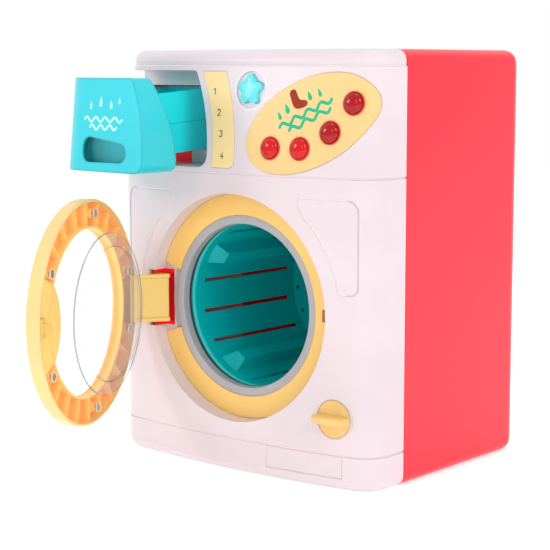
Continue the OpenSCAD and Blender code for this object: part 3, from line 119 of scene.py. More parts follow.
class Wire:
    """A node's output socket, so that shader maths reads as Python."""

    def __init__(self, finish, socket):
        self.finish = finish
        self.socket = socket

    def _maths(self, operation, first, second):
        made = self.finish.node("ShaderNodeMath", {"operation": operation}, **{"0": first, "1": second})
        return made["Value"]

    def __add__(self, other):
        return self._maths("ADD", self, other)

    __radd__ = __add__

    def __sub__(self, other):
        return self._maths("SUBTRACT", self, other)

    def __rsub__(self, other):
        return self._maths("SUBTRACT", other, self)

    def __mul__(self, other):
        return self._maths("MULTIPLY", self, other)

    __rmul__ = __mul__

    def __pow__(self, other):
        return self._maths("POWER", self, other)

    def __rpow__(self, other):
        return self._maths("POWER", other, self)


class Made:
    """A node that has been made; its outputs are read by name or number."""

    def __init__(self, finish, node):
        self.finish = finish
        self.node = node

    def __getitem__(self, name):
        return Wire(self.finish, self.node.outputs[name])


class Bench:
    """A node tree and the few calls that build its nodes."""

    def __init__(self, tree, surface):
        self.tree = tree
        self.surface = surface

    def node(self, kind, settings=None, **values):
        """Makes a node; its inputs are filled by name, or by number where names repeat."""
        made = self.tree.nodes.new(kind)
        for key, value in (settings or {}).items():
            if key == "stops":
                self._stops(made.color_ramp, value)
            else:
                setattr(made, key, value)
        for key, value in values.items():
            socket = made.inputs[int(key)] if key.isdigit() else made.inputs[key.replace("_", " ")]
            self._fill(socket, value)
        return Made(self, made)

    @staticmethod
    def _stops(ramp, stops):
        while len(ramp.elements) > 1:
            ramp.elements.remove(ramp.elements[0])
        for i, (place, level) in enumerate(stops):
            stop = ramp.elements[0] if i == 0 else ramp.elements.new(place)
            stop.position = place
            stop.color = (level, level, level, 1)

    def _fill(self, socket, value):
        if isinstance(value, Wire):
            self.tree.links.new(value.socket, socket)
        elif isinstance(value, tuple) and len(value) == 3 and socket.type == "RGBA":
            socket.default_value = (*value, 1)
        else:
            socket.default_value = value

    def set(self, **values):
        """Links or sets inputs of the surface by name."""
        for key, value in values.items():
            self._fill(self.surface.inputs[key.replace("_", " ")], value)

    def mix(self, factor, first, second):
        """A colour between two colours."""
        settings = {"data_type": "RGBA", "clamp_factor": True}
        return self.node("ShaderNodeMix", settings, **{"0": factor, "6": first, "7": second})[2]

    def place(self):
        """The place on the part, in metres of the shared frame."""
        return self.node("ShaderNodeTexCoord")["Object"]

    def parts(self, where):
        """A place taken apart into X, Y and Z."""
        return self.node("ShaderNodeSeparateXYZ", None, Vector=where)

    def facing(self):
        """Nothing where a face looks at the eye, one where it is seen along its side."""
        return self.node("ShaderNodeLayerWeight", None, Blend=0.5)["Facing"]

    def noise(self, where, scale, detail=2.0, roughness=0.5):
        """Soft noise between nothing and one."""
        made = self.node(
            "ShaderNodeTexNoise", None, Vector=where, Scale=scale, Detail=detail, Roughness=roughness)
        return made["Fac"]

    def stretched(self, where, scale):
        """A place scaled by its own factor in each direction."""
        return self.node("ShaderNodeMapping", None, Vector=where, Scale=scale)["Vector"]

    def ramp(self, value, stops):
        """A level read from stops of (place, level)."""
        return self.node("ShaderNodeValToRGB", {"stops": stops}, Fac=value)["Color"]

    def near(self, value, middle, reach):
        """One where a length lies within reach of a middle, both in millimetres, otherwise nothing."""
        limits = {"0": value, "1": middle * MM, "2": reach * MM}
        return self.node("ShaderNodeMath", {"operation": "COMPARE"}, **limits)["Value"]

    def between(self, value, low, high):
        """Rises from nothing to one as a value goes from low to high."""
        made = self.node("ShaderNodeMapRange", {"clamp": True}, Value=value, From_Min=low, From_Max=high)
        return made["Result"]

    def span(self, value, limits):
        """One between soft limits in millimetres: start and full, or start, full, full and end."""
        start, full, *rest = (limit * MM for limit in limits)
        inside = self.between(value, start, full)
        if rest:
            inside = inside * self.between(value, rest[1], rest[0])
        return inside

    @staticmethod
    def radius(across, up):
        """How far a place lies from an axis."""
        return (across * across + up * up) ** 0.5

    def door_axis(self, where):
        """Distance from the open door's middle axis, and depth along it, in metres."""
        ends = {"0": where, "1": Vector(HINGE) * MM}
        part = self.parts(self.node("ShaderNodeVectorMath", {"operation": "SUBTRACT"}, **ends)["Vector"])
        c, w = math.cos(DOOR_OPEN), math.sin(DOOR_OPEN)
        side = part["X"] * c - part["Y"] * w + HINGE[0] * MM
        depth = part["X"] * w + part["Y"] * c
        return self.radius(side, part["Z"]), depth

    def glow(self, mask, low, high, strength=0.3):
        """Painted light: emission from one colour to another by a mask, on parts that are no lamps."""
        self.set(Emission_Color=self.mix(mask, low, high), Emission_Strength=strength)

    def bump(self, height, strength, distance, edge=0.0):
        """Bumps in the surface, with rounded edges if an edge radius is given."""
        values = {"Height": height, "Strength": strength, "Distance": distance}
        if edge:
            values["Normal"] = self.node("ShaderNodeBevel", {"samples": 4}, Radius=edge)["Normal"]
        self.set(Normal=self.node("ShaderNodeBump", None, **values)["Normal"])


class Finish(Bench):
    """One material with its Principled surface."""

    def __init__(self, name, colour):
        self.material = bpy.data.materials.new(name)
        self.material.use_nodes = True
        self.material.diffuse_color = (*colour, 1)
        tree = self.material.node_tree
        super().__init__(tree, tree.nodes["Principled BSDF"])
        FINISHES[name] = self.material


def crown(across, radius=CROWN_R):
    """How far the bowed front lies behind its middle line, for a number or for a shader's socket."""
    return radius - (radius * radius - across * across) ** 0.5


def moulded(name, colour, gloss=0.3, edge=0.0005, grain=1.0, shine=0.4, zone=None, painted_glow=None):
    """Injection-moulded plastic: a faint flow tone, a fine skin, fine rub marks and soft edges; a zone may
    change its tone, and a painted glow may be added where no lamp lights it.
    """
    made = Finish(name, colour)
    where = made.place()
    flow = made.noise(made.stretched(where, (6.0, 6.0, 14.0)), 1.6, 3.0)
    skin = made.noise(where, 1500.0)
    waves = made.noise(where, 60.0, 1.0)
    rubs = made.noise(made.stretched(where, (300.0, 40.0, 25.0)), 5.0, 4.0, 0.7)
    rubbed = made.ramp(rubs, [(0.62, 0.0), (0.78, 1.0)])
    tone = made.mix(made.ramp(flow, [(0.3, 0.0), (0.7, 1.0)]), shade(colour, 0.93), colour)
    if zone:
        tone = zone(made, where, tone)
    # Painted light: a mottled glow over the whole part
    if painted_glow:
        made.glow(flow, shade(painted_glow, 0.8), painted_glow)
    made.set(Base_Color=tone, Roughness=gloss + rubbed * 0.1 + flow * 0.06)
    made.set(IOR=1.5, Specular_IOR_Level=shine, Coat_Weight=0.1, Coat_Roughness=0.12)
    made.bump(skin * 0.3 + waves * 0.7, 0.12 * grain, 0.0004, edge)
    return made.material


def painted_groove_light(made, part):
    """Mask of painted light: one in the narrow grooves of the bowed front, away from the recess, and along
    its seams, and fainter in the star's dish.
    """
    across, height = part["X"], part["Z"]
    sunk = part["Y"] - crown(across, CROWN_R * MM) + HALF_DEPTH * MM
    from_port = made.radius(across, height - PORT_Z * MM)
    from_star = made.radius(across - STAR_X * MM, height - STAR_Z * MM)
    inside = made.span(sunk, GROOVE_SUNK) * made.span(across, GROOVE_ACROSS)
    inside = inside * made.span(from_port, RECESS_EDGE) * made.span(height, GROOVE_UP)
    seams = sum(made.near(height, seam, SEAM_LIGHT_REACH) for seam in SEAMS)
    dish = made.span(from_star, DISH_EDGE) * made.span(part["Y"], DISH_BACK)
    return made.between(inside + seams + dish * 0.35, 0.0, 1.0)


def seam_tint_and_painted_light(made, where, tone):
    """A faint pink line in the seams of the white front, and painted light glowing in its grooves, its seams
    and the star's dish.
    """
    part = made.parts(where)
    # Painted light: a glow that lightens the shaded grooves, seams and dish
    made.glow(painted_groove_light(made, part), BLACK, (0.60, 0.55, 0.56))
    line = sum(made.near(part["Z"], seam, SEAM_TINT_REACH) for seam in SEAMS)
    return made.mix(line * 0.2, tone, paint(222, 186, 196))


def back_inside_painted_glow(made, where, tone):
    """Painted light: a little glow on the inner faces of the thin back shell."""
    part = made.parts(where)
    side = made.node("ShaderNodeMath", {"operation": "ABSOLUTE"}, **{"0": part["X"]})["Value"]
    inner = made.span(side, WALL_ACROSS) * made.span(part["Y"], WALL_BACK) * made.span(part["Z"], WALL_UP)
    made.glow(inner, BLACK, (0.10, 0.07, 0.06))
    return tone


def drum_rim(made, where, tone):
    """Paler teal on the drum's front edge, where the light catches it."""
    rim = made.span(made.parts(where)["Y"], DRUM_RIM)
    return made.mix(rim * 0.8, tone, paint(84, 236, 228))


def drawer_pocket_painted_shade(made, where, tone):
    """Painted shade inside the drawer's finger pocket, darker teal towards its left end."""
    part = made.parts(where)
    across, height = part["X"], part["Z"]
    bow = crown(across, CROWN_R * MM) * (1 / math.cos(PANEL_LEAN))
    lean = (height - (PANEL_Z - DRAWER_DROP) * MM) * math.tan(PANEL_LEAN)
    sunk = part["Y"] - bow - lean + (HALF_DEPTH + DRAWER_OUT) * MM
    inside = made.span(sunk, POCKET_SUNK) * made.span(across, POCKET_ACROSS) * made.span(height, POCKET_UP)
    # Painted shade: darker at the pocket's left, paler to its right
    floor = made.mix(made.span(across, POCKET_SHADE_FADE), paint(0, 120, 130), paint(10, 172, 182))
    return made.mix(inside, tone, floor)


def door_channel_painted_shade_and_light(made, where, tone):
    """Painted shade: deeper orange on the floor of the door ring's channel, lighter up its ribs and rims;
    and painted light glowing in the channel.
    """
    radius, depth = made.door_axis(where)
    inside = made.span(radius, CHANNEL_EDGE) * made.span(depth, CHANNEL_DEPTH)
    floor = made.mix(made.span(depth, CHANNEL_SHADE_FADE), paint(255, 168, 30), paint(255, 208, 104))
    # Painted light: a warm glow over the channel
    made.glow(inside, BLACK, (0.9, 0.52, 0.12), 0.18)
    return made.mix(inside, tone, floor)


def sealing_rubber(name, colour):
    """Matt rubber with a faint bloom, a coarser skin and painted shade deep in its bore."""
    made = Finish(name, colour)
    where = made.place()
    bloom = made.noise(where, 35.0, 4.0, 0.6)
    tone = made.mix(made.ramp(bloom, [(0.35, 0.0), (0.75, 1.0)]), colour, shade(colour, 1.12))
    # Painted shade: the bore goes nearly black beyond a set depth
    tone = made.mix(made.span(made.parts(where)["Y"], SEAL_BORE_SHADE), tone, shade(colour, 0.12))
    made.set(Base_Color=tone, Roughness=0.42 + bloom * 0.2)
    made.bump(made.noise(where, 1100.0, 3.0), 0.2, 0.0004, 0.0006)
    return made.material


def plated(name, colour, roughness=0.3):
    """Zinc-plated steel or turned brass with fine turning marks and dull spots."""
    made = Finish(name, colour)
    where = made.place()
    marks = made.noise(made.stretched(where, (900.0, 900.0, 120.0)), 6.0, 3.0)
    spots = made.ramp(made.noise(where, 260.0, 4.0, 0.65), [(0.45, 0.0), (0.7, 1.0)])
    made.set(Base_Color=made.mix(spots, colour, shade(colour, 0.72)), Metallic=1.0)
    made.set(Roughness=roughness + marks * 0.15 + spots * 0.15)
    made.bump(marks, 0.15, 0.0002, 0.0002)
    return made.material


def clear_shell(name, colour, painted_edge_colour, rim_colour):
    """Clear moulded plastic: seen through, with darker tan edges painted where it is seen along its side,
    and painted dark refraction lines on its rounded rim and in a fine ring round its face.
    """
    made = Finish(name, colour)
    where = made.place()
    haze = made.ramp(made.noise(where, 45.0, 3.0), [(0.45, 0.0), (0.9, 1.0)])
    edge = made.ramp(made.facing(), [(0.0, 0.0), (0.70, 0.0), (0.9, 0.25), (1.0, 1.0)])
    radius, depth = made.door_axis(where)
    # Painted refraction lines: a dark rim of the bowl and a fine dark ring round its face
    rim = made.near(depth, *BOWL_RIM) * made.span(radius, BOWL_RIM_EDGE)
    line = made.near(radius, *BOWL_LINE) * made.span(depth, BOWL_LINE_DEPTH)
    face = made.span(radius, BOWL_FACE_EDGE) * made.span(depth, BOWL_FACE_DEPTH)
    tone = made.mix(rim + line, made.mix(edge, colour, painted_edge_colour), rim_colour)
    cover = 0.035 + haze * 0.02 + edge * 0.32 + face * 0.06 + rim * 0.6 + line * 0.22
    made.set(Base_Color=tone, Roughness=0.04 + haze * 0.05, Alpha=cover)
    made.set(IOR=1.46, Specular_IOR_Level=0.5)
    made.bump(made.noise(where, 55.0, 1.0), 0.05, 0.0006)
    return made.material


def lamp_dome(name, colour):
    """Clear red plastic, darker where the eye looks through its side and on the two lamps at the right end.
    """
    made = Finish(name, colour)
    where = made.place()
    core = made.ramp(made.noise(where, 120.0), [(0.3, 0.0), (0.7, 1.0)])
    side = made.ramp(made.facing(), [(0.35, 0.0), (0.9, 1.0)])
    # Darker on the two lamps that lie beyond this line to the right
    right_lamps_dark = made.span(made.parts(where)["X"], RIGHT_LAMPS_ACROSS) * 0.55
    tone = made.mix(side * 0.7 + core * 0.2 + right_lamps_dark, colour, shade(colour, 0.35))
    made.set(Base_Color=tone, Roughness=0.05 + core * 0.03)
    made.set(IOR=1.49, Specular_IOR_Level=0.34, Coat_Weight=0.15, Coat_Roughness=0.02)
    made.bump(made.noise(where, 70.0, 1.0), 0.05, 0.0004, 0.0003)
    return made.material


def lacquered_board(name, colour):
    """Circuit board lacquer with faint copper runs."""
    made = Finish(name, colour)
    runs = made.node("ShaderNodeTexBrick", None, Vector=made.place(), Scale=90.0)["Fac"]
    made.set(Base_Color=made.mix(runs, colour, shade(colour, 1.5)), Roughness=0.28 + runs * 0.15)
    made.bump(runs, 0.2, 0.0002)
    return made.material


def ink(name, colour):
    """Pad-printed ink: slightly uneven, with a soft edge of gloss."""
    made = Finish(name, colour)
    thin = made.noise(made.place(), 700.0, 3.0)
    tone = made.mix(made.ramp(thin, [(0.3, 0.0), (0.75, 1.0)]), colour, shade(colour, 1.25, 0.01))
    made.set(Base_Color=tone, Roughness=0.38 + thin * 0.15, Specular_IOR_Level=0.15)
    made.bump(thin, 0.1, 0.0001)


def spread(first, last, steps):
    """Evenly spaced values, ends included."""
    return [first + (last - first) * i / steps for i in range(steps + 1)]


def on_circle(radius, t, middle=(0.0, 0.0)):
    """A place on a circle, at an angle."""
    return (middle[0] + radius * math.cos(t), middle[1] + radius * math.sin(t))


def angles(steps):
    """Evenly spaced angles of one full turn."""
    return [2 * math.pi * i / steps for i in range(steps)]


def turned(middle, u, w, tilt):
    """A place beside a middle, along axes that are turned by a tilt."""
    c, s = math.cos(tilt), math.sin(tilt)
    return (middle[0] + u * c - w * s, middle[1] + u * s + w * c)


def panel_at(x, z):
    """Depth of the leaning panel's face at a sideways place and a height."""
    lean = max(0.0, z - PANEL_Z) * math.tan(PANEL_LEAN)
    return crown(x) / math.cos(PANEL_LEAN) + lean - HALF_DEPTH


def placed(turn):
    """A function that takes millimetres in a turned frame to metres in the shared frame."""
    return lambda x, y, z: turn @ (Vector((x, y, z)) * MM)


def new_piece(name, mesh, body, material, sharp=SHARP_ANGLE):
    """Makes an object of a bmesh, smooths it and lets it ride on a body."""
    data = bpy.data.meshes.new(name)
    bmesh.ops.recalc_face_normals(mesh, faces=mesh.faces)
    mesh.to_mesh(data)
    mesh.free()
    data.shade_smooth()
    data.set_sharp_from_angle(angle=math.radians(sharp))
    data.materials.append(material)
    piece = bpy.data.objects.new(name, data)
    bpy.context.scene.collection.objects.link(piece)
    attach(piece, body)


def join_loops(mesh, loops):
    """Joins each closed loop of points to the next with four-sided faces."""
    for a, b in zip(loops, loops[1:]):
        for i in range(len(a)):
            j = (i + 1) % len(a)
            mesh.faces.new((a[i], a[j], b[j], b[i]))


def lathe(mesh, profile, steps, put):
    """Turns a closed profile of (radius, depth) round an axis; put takes each point to its place."""
    rings = [
        [mesh.verts.new(put(r * math.cos(t), y, r * math.sin(t))) for r, y in profile]
        for t in angles(steps)
    ]
    join_loops(mesh, rings + rings[:1])


INK_LIFT, INK_SINK = 0.06, 0.12
CAP_STEPS = 5


def ink_loop(mesh, outline, surface, sink):
    """Points of an outline of (x, z), sunk by an amount below a surface."""
    return [mesh.verts.new(Vector((x, surface(x, z) + sink, z)) * MM) for x, z in outline]


def printed(mesh, outline, surface):
    """A thin closed plate of ink over a surface."""
    top = ink_loop(mesh, outline, surface, -INK_LIFT)
    low = ink_loop(mesh, outline, surface, INK_SINK)
    for loop in (top, low[::-1]):
        bmesh.ops.triangulate(mesh, faces=[mesh.faces.new(loop)])
    join_loops(mesh, (top, low))


def ring_print(mesh, centre, outer, inner, surface, steps=28):
    """A printed ring: four loops joined into a thin closed band."""
    loops = []
    for radius, sink in ((outer, -INK_LIFT), (inner, -INK_LIFT), (inner, INK_SINK), (outer, INK_SINK)):
        outline = [on_circle(radius, t, centre) for t in angles(steps)]
        loops.append(ink_loop(mesh, outline, surface, sink))
    join_loops(mesh, loops + loops[:1])


def band(points, width):
    """The outline of a stroke of even width along points, with round ends."""
    left, right = [], []
    for i, (x, z) in enumerate(points):
        before, after = points[max(i - 1, 0)], points[min(i + 1, len(points) - 1)]
        dx, dz = after[0] - before[0], after[1] - before[1]
        scale = width / 2 / math.hypot(dx, dz)
        left.append((x - dz * scale, z + dx * scale))
        right.append((x + dz * scale, z - dx * scale))
    tip, tail = end_cap(points[-1], points[-2], width), end_cap(points[0], points[1], width)
    return left + tip + right[::-1] + tail


def end_cap(tip, inner, width):
    """Points round the tip of a stroke, from its left side to its right."""
    start = math.atan2(tip[1] - inner[1], tip[0] - inner[0]) + math.pi / 2
    return [on_circle(width / 2, t, tip) for t in spread(start, start - math.pi, CAP_STEPS)[1:-1]]


def wave(first, last, height, swing, swings, steps=72):
    """Points of a sine line that runs sideways at a height."""
    return [
        (first + (last - first) * t, height + swing * math.sin(2 * math.pi * swings * t))
        for t in spread(0.0, 1.0, steps)
    ]


def drop(centre, size, tilt=0.0, steps=26, width=0.62, point=1.5):
    """The outline of a water drop with its tip up."""
    return [
        turned(centre, size * width * math.sin(t) * math.sin(t / 2) ** point, size * math.cos(t), tilt)
        for t in angles(steps)
    ]


def soft_outline(points, rounds=2, cut=0.25):
    """Cuts an outline's corners round after round, so that it reads as rounded."""
    for _ in range(rounds):
        made = []
        for p, q in zip(points, points[1:] + points[:1]):
            for near, far in ((p, q), (q, p)):
                made.append(tuple(a * (1 - cut) + b * cut for a, b in zip(near, far)))
        points = made
    return points


def smoothing_group():
    """A node group that joins a CAD node's split points and shades it smooth up to an angle."""
    group = bpy.data.node_groups.new("SoftShading", "GeometryNodeTree")
    group.interface.new_socket("Geometry", in_out="INPUT", socket_type="NodeSocketGeometry")
    group.interface.new_socket("Geometry", in_out="OUTPUT", socket_type="NodeSocketGeometry")
    into = group.nodes.new("NodeGroupInput")
    out = group.nodes.new("NodeGroupOutput")
    weld = group.nodes.new("GeometryNodeMergeByDistance")
    weld.inputs["Distance"].default_value = WELD_REACH
    angle = group.nodes.new("GeometryNodeInputMeshEdgeAngle")
    test = group.nodes.new("FunctionNodeCompare")
    test.data_type = "FLOAT"
    test.operation = "LESS_EQUAL"
    test.inputs["B"].default_value = math.radians(SHARP_ANGLE)
    edges = group.nodes.new("GeometryNodeSetShadeSmooth")
    edges.domain = "EDGE"
    faces = group.nodes.new("GeometryNodeSetShadeSmooth")
    faces.domain = "FACE"
    link = group.links.new
    link(into.outputs[0], weld.inputs["Geometry"])
    link(weld.outputs["Geometry"], edges.inputs["Geometry"])
    link(angle.outputs["Unsigned Angle"], test.inputs["A"])
    link(test.outputs["Result"], edges.inputs["Shade Smooth"])
    link(edges.outputs["Geometry"], faces.inputs["Geometry"])
    link(faces.outputs["Geometry"], out.inputs[0])
    return group


def dress(node, material, group):
    """Gives a CAD node its finish and soft shading."""
    piece = NODES[node]
    piece.data.materials.clear()
    piece.data.materials.append(material)
    if "custom_normal" in piece.data.attributes:
        piece.data.attributes.remove(piece.data.attributes["custom_normal"])
    soft = piece.modifiers.new("SoftShading", "NODES")
    soft.node_group = group
    weighted = piece.modifiers.new("FaceWeights", "WEIGHTED_NORMAL")
    weighted.keep_sharp = True
    weighted.weight = 90


class ToyColours(bpy.types.PropertyGroup):
    """Colours of the toy's plastics that show from outside."""

    front: bpy.props.FloatVectorProperty(
        name="Front", description="Colour of the white front",
        subtype="COLOR", default=paint(227, 213, 218))
    back: bpy.props.FloatVectorProperty(
        name="Back", description="Colour of the red back",
        subtype="COLOR", default=paint(250, 27, 52))
    ring: bpy.props.FloatVectorProperty(
        name="Port ring", description="Colour of the ring round the port",
        subtype="COLOR", default=paint(250, 206, 118))
    door: bpy.props.FloatVectorProperty(
        name="Door", description="Colour of the door's ring",
        subtype="COLOR", default=paint(252, 213, 146))
    arm: bpy.props.FloatVectorProperty(
        name="Arm", description="Colour of the door's arm and latch",
        subtype="COLOR", default=paint(248, 208, 116))
    plate: bpy.props.FloatVectorProperty(
        name="Oval plate", description="Colour of the oval plate",
        subtype="COLOR", default=paint(242, 202, 134))
    strip: bpy.props.FloatVectorProperty(
        name="Strip", description="Colour of the label strip",
        subtype="COLOR", default=paint(255, 221, 157))
    drawer: bpy.props.FloatVectorProperty(
        name="Drawer front", description="Colour of the drawer's front",
        subtype="COLOR", default=paint(44, 208, 221))
    star: bpy.props.FloatVectorProperty(
        name="Star", description="Colour of the star button",
        subtype="COLOR", default=paint(104, 226, 233))
    knob: bpy.props.FloatVectorProperty(
        name="Knob", description="Colour of the selector knob",
        subtype="COLOR", default=paint(241, 200, 122))
    box: bpy.props.FloatVectorProperty(
        name="Drawer box", description="Colour of the drawer's box",
        subtype="COLOR", default=paint(34, 243, 248))
    drum: bpy.props.FloatVectorProperty(
        name="Drum", description="Colour of the drum",
        subtype="COLOR", default=paint(0, 192, 194))
    seal: bpy.props.FloatVectorProperty(
        name="Seal", description="Colour of the door's seal",
        subtype="COLOR", default=paint(168, 167, 172))
    lamp: bpy.props.FloatVectorProperty(
        name="Lamps", description="Colour of the lamp domes",
        subtype="COLOR", default=paint(214, 8, 18))


class ToySizes(bpy.types.PropertyGroup):
    """Sizes of what is added to the solids."""

    bezel: bpy.props.FloatProperty(
        name="Lamp rim", description="Radius of the round rim at a lamp's foot",
        default=0.0005, unit="LENGTH", min=0.0002)
    digit: bpy.props.FloatProperty(
        name="Digit height", description="Height of the digits on the strip",
        default=0.0040, unit="LENGTH", min=0.001)
    stroke: bpy.props.FloatProperty(
        name="Print stroke", description="Width that the printed waves start from",
        default=0.0014, unit="LENGTH", min=0.0002)
    star_dome: bpy.props.FloatProperty(
        name="Star dome", description="How far the star button is domed",
        default=0.0013, unit="LENGTH", min=0.0)


class TOY_OT_finishes(bpy.types.Operator):
    """Makes every finish and puts it on the CAD nodes"""

    bl_idname = "toy.finishes"
    bl_label = "Finishes"

    def execute(self, context):
        colours = context.scene.toy_colours
        hue = {name: tuple(getattr(colours, name)) for name in ToyColours.__annotations__}
        wears = (
            (moulded("FrontWhite", hue["front"], zone=seam_tint_and_painted_light), "front_housing plinth_panel"),
            (moulded("BackRed", hue["back"], 0.33, zone=back_inside_painted_glow), "rear_housing battery_cover"),
            (moulded("BulkheadRed", paint(226, 8, 20), 0.36), "drum_bulkhead motor_mount"),
            # Painted light: the inner red parts glow, though no lamp lights them
            (moulded("InnerRed", paint(250, 4, 14), 0.35, shine=0.2, painted_glow=(0.75, 0.01, 0.02)),
             "hinge_bracket latch_catch drawer_guide"),
            (moulded("RingAmber", hue["ring"], 0.3, edge=0.0012), "port_ring"),
            (moulded("DoorAmber", hue["door"], 0.3, edge=0.0008, shine=0.25, zone=door_channel_painted_shade_and_light),
             "door_ring"),
            (moulded("ArmAmber", hue["arm"], 0.32, edge=0.0008), "hinge_arm door_latch"),
            (moulded("PlateCream", hue["plate"], 0.38, grain=0.7), "control_plate"),
            (moulded("StripCream", hue["strip"], 0.38, grain=0.7), "label_strip"),
            (moulded("DrawerBlue", hue["drawer"], 0.28, edge=0.003, zone=drawer_pocket_painted_shade), "drawer_front"),
            (moulded("StarBlue", hue["star"], 0.26, edge=0.0006), "star_button"),
            (moulded("KnobCream", hue["knob"], 0.32, edge=0.0009), "selector_knob"),
            (moulded("BoxTeal", hue["box"], 0.3, shine=0.3), "drawer_box"),
            (moulded("DrumTeal", hue["drum"], 0.32, shine=0.25, zone=drum_rim), "drum_shell drum_back"),
            (moulded("DarkPlastic", paint(46, 46, 50), 0.45),
             "battery_box speaker power_switch selector_switch"),
            (moulded("CellSleeve", paint(96, 130, 104), 0.3), "batteries"),
            (moulded("GearWhite", paint(232, 232, 226), 0.4), "drum_gear motor_pinion"),
            (sealing_rubber("SealGrey", hue["seal"]), "door_gasket"),
            (plated("PlatedSteel", (0.62, 0.62, 0.65)),
             "hinge_pin housing_screws door_screws drawer_screws drum_screws drum_shaft motor "
             "battery_contacts"),
            (plated("TurnedBrass", (0.72, 0.52, 0.24), 0.25), "drum_bearing"),
            (clear_shell("ClearWindow", (0.70, 0.74, 0.84), paint(206, 178, 150), paint(104, 100, 104)),
             "door_window"),
            (lamp_dome("LampRed", hue["lamp"]), "indicator_lenses indicator_leds"),
            (lacquered_board("BoardGreen", paint(24, 110, 66)), "circuit_board"),
        )
        group = smoothing_group()
        done = set()
        for material, names in wears:
            for node in names.split():
                dress(node, material, group)
                done.add(node)
        left = sorted(set(NODES) - done)
        if left:
            raise RuntimeError(f"these nodes have no finish: {left}")
        moulded("WasherPale", paint(246, 214, 176), 0.2, edge=0.0)
        moulded("LampRim", paint(206, 60, 34), 0.25, edge=0.0)
        ink("PrintGreen", paint(40, 172, 128))
        ink("PrintBrown", paint(146, 44, 26))
        ink("PrintDark", paint(70, 62, 52))
        ink("PrintPale", paint(176, 232, 240))
        return {"FINISHED"}


LAMP_PLACES = ((32.4, 216.8), (55.4, 217.1), (77.2, 227.7), (92.8, 246.2))
LAMP_RIM_R, LAMP_RIM_FRONT = 7.25, 0.35
LAMP_RIM_SIDES, LAMP_RIM_STEPS, LAMP_RIM_SHARP = 8, 56, 60.0
CORNER_X, CORNER_Y, CORNER_R, TURN_X = 92.5, 25.357, 19.0, 95.1


def lamp_turn(x, z):
    """Matrix that puts a lamp's own frame (axis along -Y) on the panel or on its rounded corner."""
    if x < TURN_X:
        depth, turn = crown(x), math.asin(x / CROWN_R)
    else:
        depth = CORNER_Y - math.sqrt(CORNER_R ** 2 - (x - CORNER_X) ** 2)
        turn = math.asin((x - CORNER_X) / CORNER_R)
    y = depth + (z - PANEL_Z) * math.tan(PANEL_LEAN) - OVAL_PROUD - HALF_DEPTH
    place = Matrix.Translation(Vector((x, y, z)) * MM)
    return place @ Matrix.Rotation(-PANEL_LEAN, 4, "X") @ Matrix.Rotation(turn, 4, "Z")


class TOY_OT_lamps(bpy.types.Operator):
    """Adds the round rims at the feet of the lamps"""

    bl_idname = "toy.lamps"
    bl_label = "Lamp rims"

    def execute(self, context):
        tube = context.scene.toy_sizes.bezel / MM
        profile = [
            (LAMP_RIM_R + tube * math.cos(t), tube * math.sin(t) - LAMP_RIM_FRONT)
            for t in angles(LAMP_RIM_SIDES)
        ]
        for i, (x, z) in enumerate(LAMP_PLACES, 1):
            mesh = bmesh.new()
            lathe(mesh, profile, LAMP_RIM_STEPS, placed(lamp_turn(x, z)))
            new_piece(f"lamp_rim_{i}", mesh, "cabinet", FINISHES["LampRim"], LAMP_RIM_SHARP)
        return {"FINISHED"}


# Each digit is one stroke, in shares of its height
DIGITS = {
    "1": [(-0.22, 0.28), (0.05, 0.5), (0.05, -0.5)],
    "2": [(-0.3, 0.3), (-0.18, 0.46), (0.05, 0.5), (0.26, 0.4), (0.3, 0.2), (0.18, 0.0), (-0.3, -0.5),
          (0.32, -0.5)],
    "3": [(-0.28, 0.42), (0.0, 0.5), (0.25, 0.38), (0.24, 0.14), (0.0, 0.03), (0.26, -0.1), (0.3, -0.3),
          (0.05, -0.5), (-0.3, -0.42)],
    "4": [(0.14, -0.5), (0.14, 0.5), (-0.32, -0.18), (0.34, -0.18)],
}
DIGIT_STROKE = 0.17
STRIP_MARKS = (("1", -18.2, 252.9), ("2", -13.4, 239.0), ("3", -10.4, 225.1), ("4", -8.4, 211.0))


class TOY_OT_strip_numbers(bpy.types.Operator):
    """Prints plain numbers down the label strip"""

    bl_idname = "toy.strip_numbers"
    bl_label = "Strip numbers"

    def execute(self, context):
        size = context.scene.toy_sizes.digit / MM

        def face(x, z):
            return panel_at(x, z) - STRIP_PROUD

        mesh = bmesh.new()
        for digit, x, z in STRIP_MARKS:
            stroke = [(x + u * size, z + w * size) for u, w in DIGITS[digit]]
            printed(mesh, band(stroke, size * DIGIT_STROKE), face)
        new_piece("strip_numbers", mesh, "cabinet", FINISHES["PrintDark"])
        return {"FINISHED"}


OVAL_MIDDLE = (56.0, 240.5)
OVAL_TILT = math.radians(26.0)
OVAL_WAVES = ((-20.0, 22.0, -1.6, 4), (-14.0, 19.0, -6.6, 3))
OVAL_SWING, OVAL_STROKES = 1.6, 1.5
OVAL_DROPS = ((-17.5, 5.6, 3.0), (-10.5, 7.4, 3.8), (8.0, 7.6, 3.4), (15.5, 6.2, 3.0))
SOCK_PLACE, SOCK_SCALE = (-2.6, 9.2), 1.15
SOCK = [(-2.4, 6.4), (2.2, 6.4), (2.2, 0.8), (2.9, -1.2), (6.2, -2.6), (7.0, -4.2), (6.2, -5.6),
        (4.4, -6.0), (1.2, -5.6), (-1.4, -4.6), (-2.6, -2.6), (-2.6, 0.6)]


def on_oval(s, t):
    """A place on the oval plate from its own long and short axes."""
    return turned(OVAL_MIDDLE, s, t, OVAL_TILT)


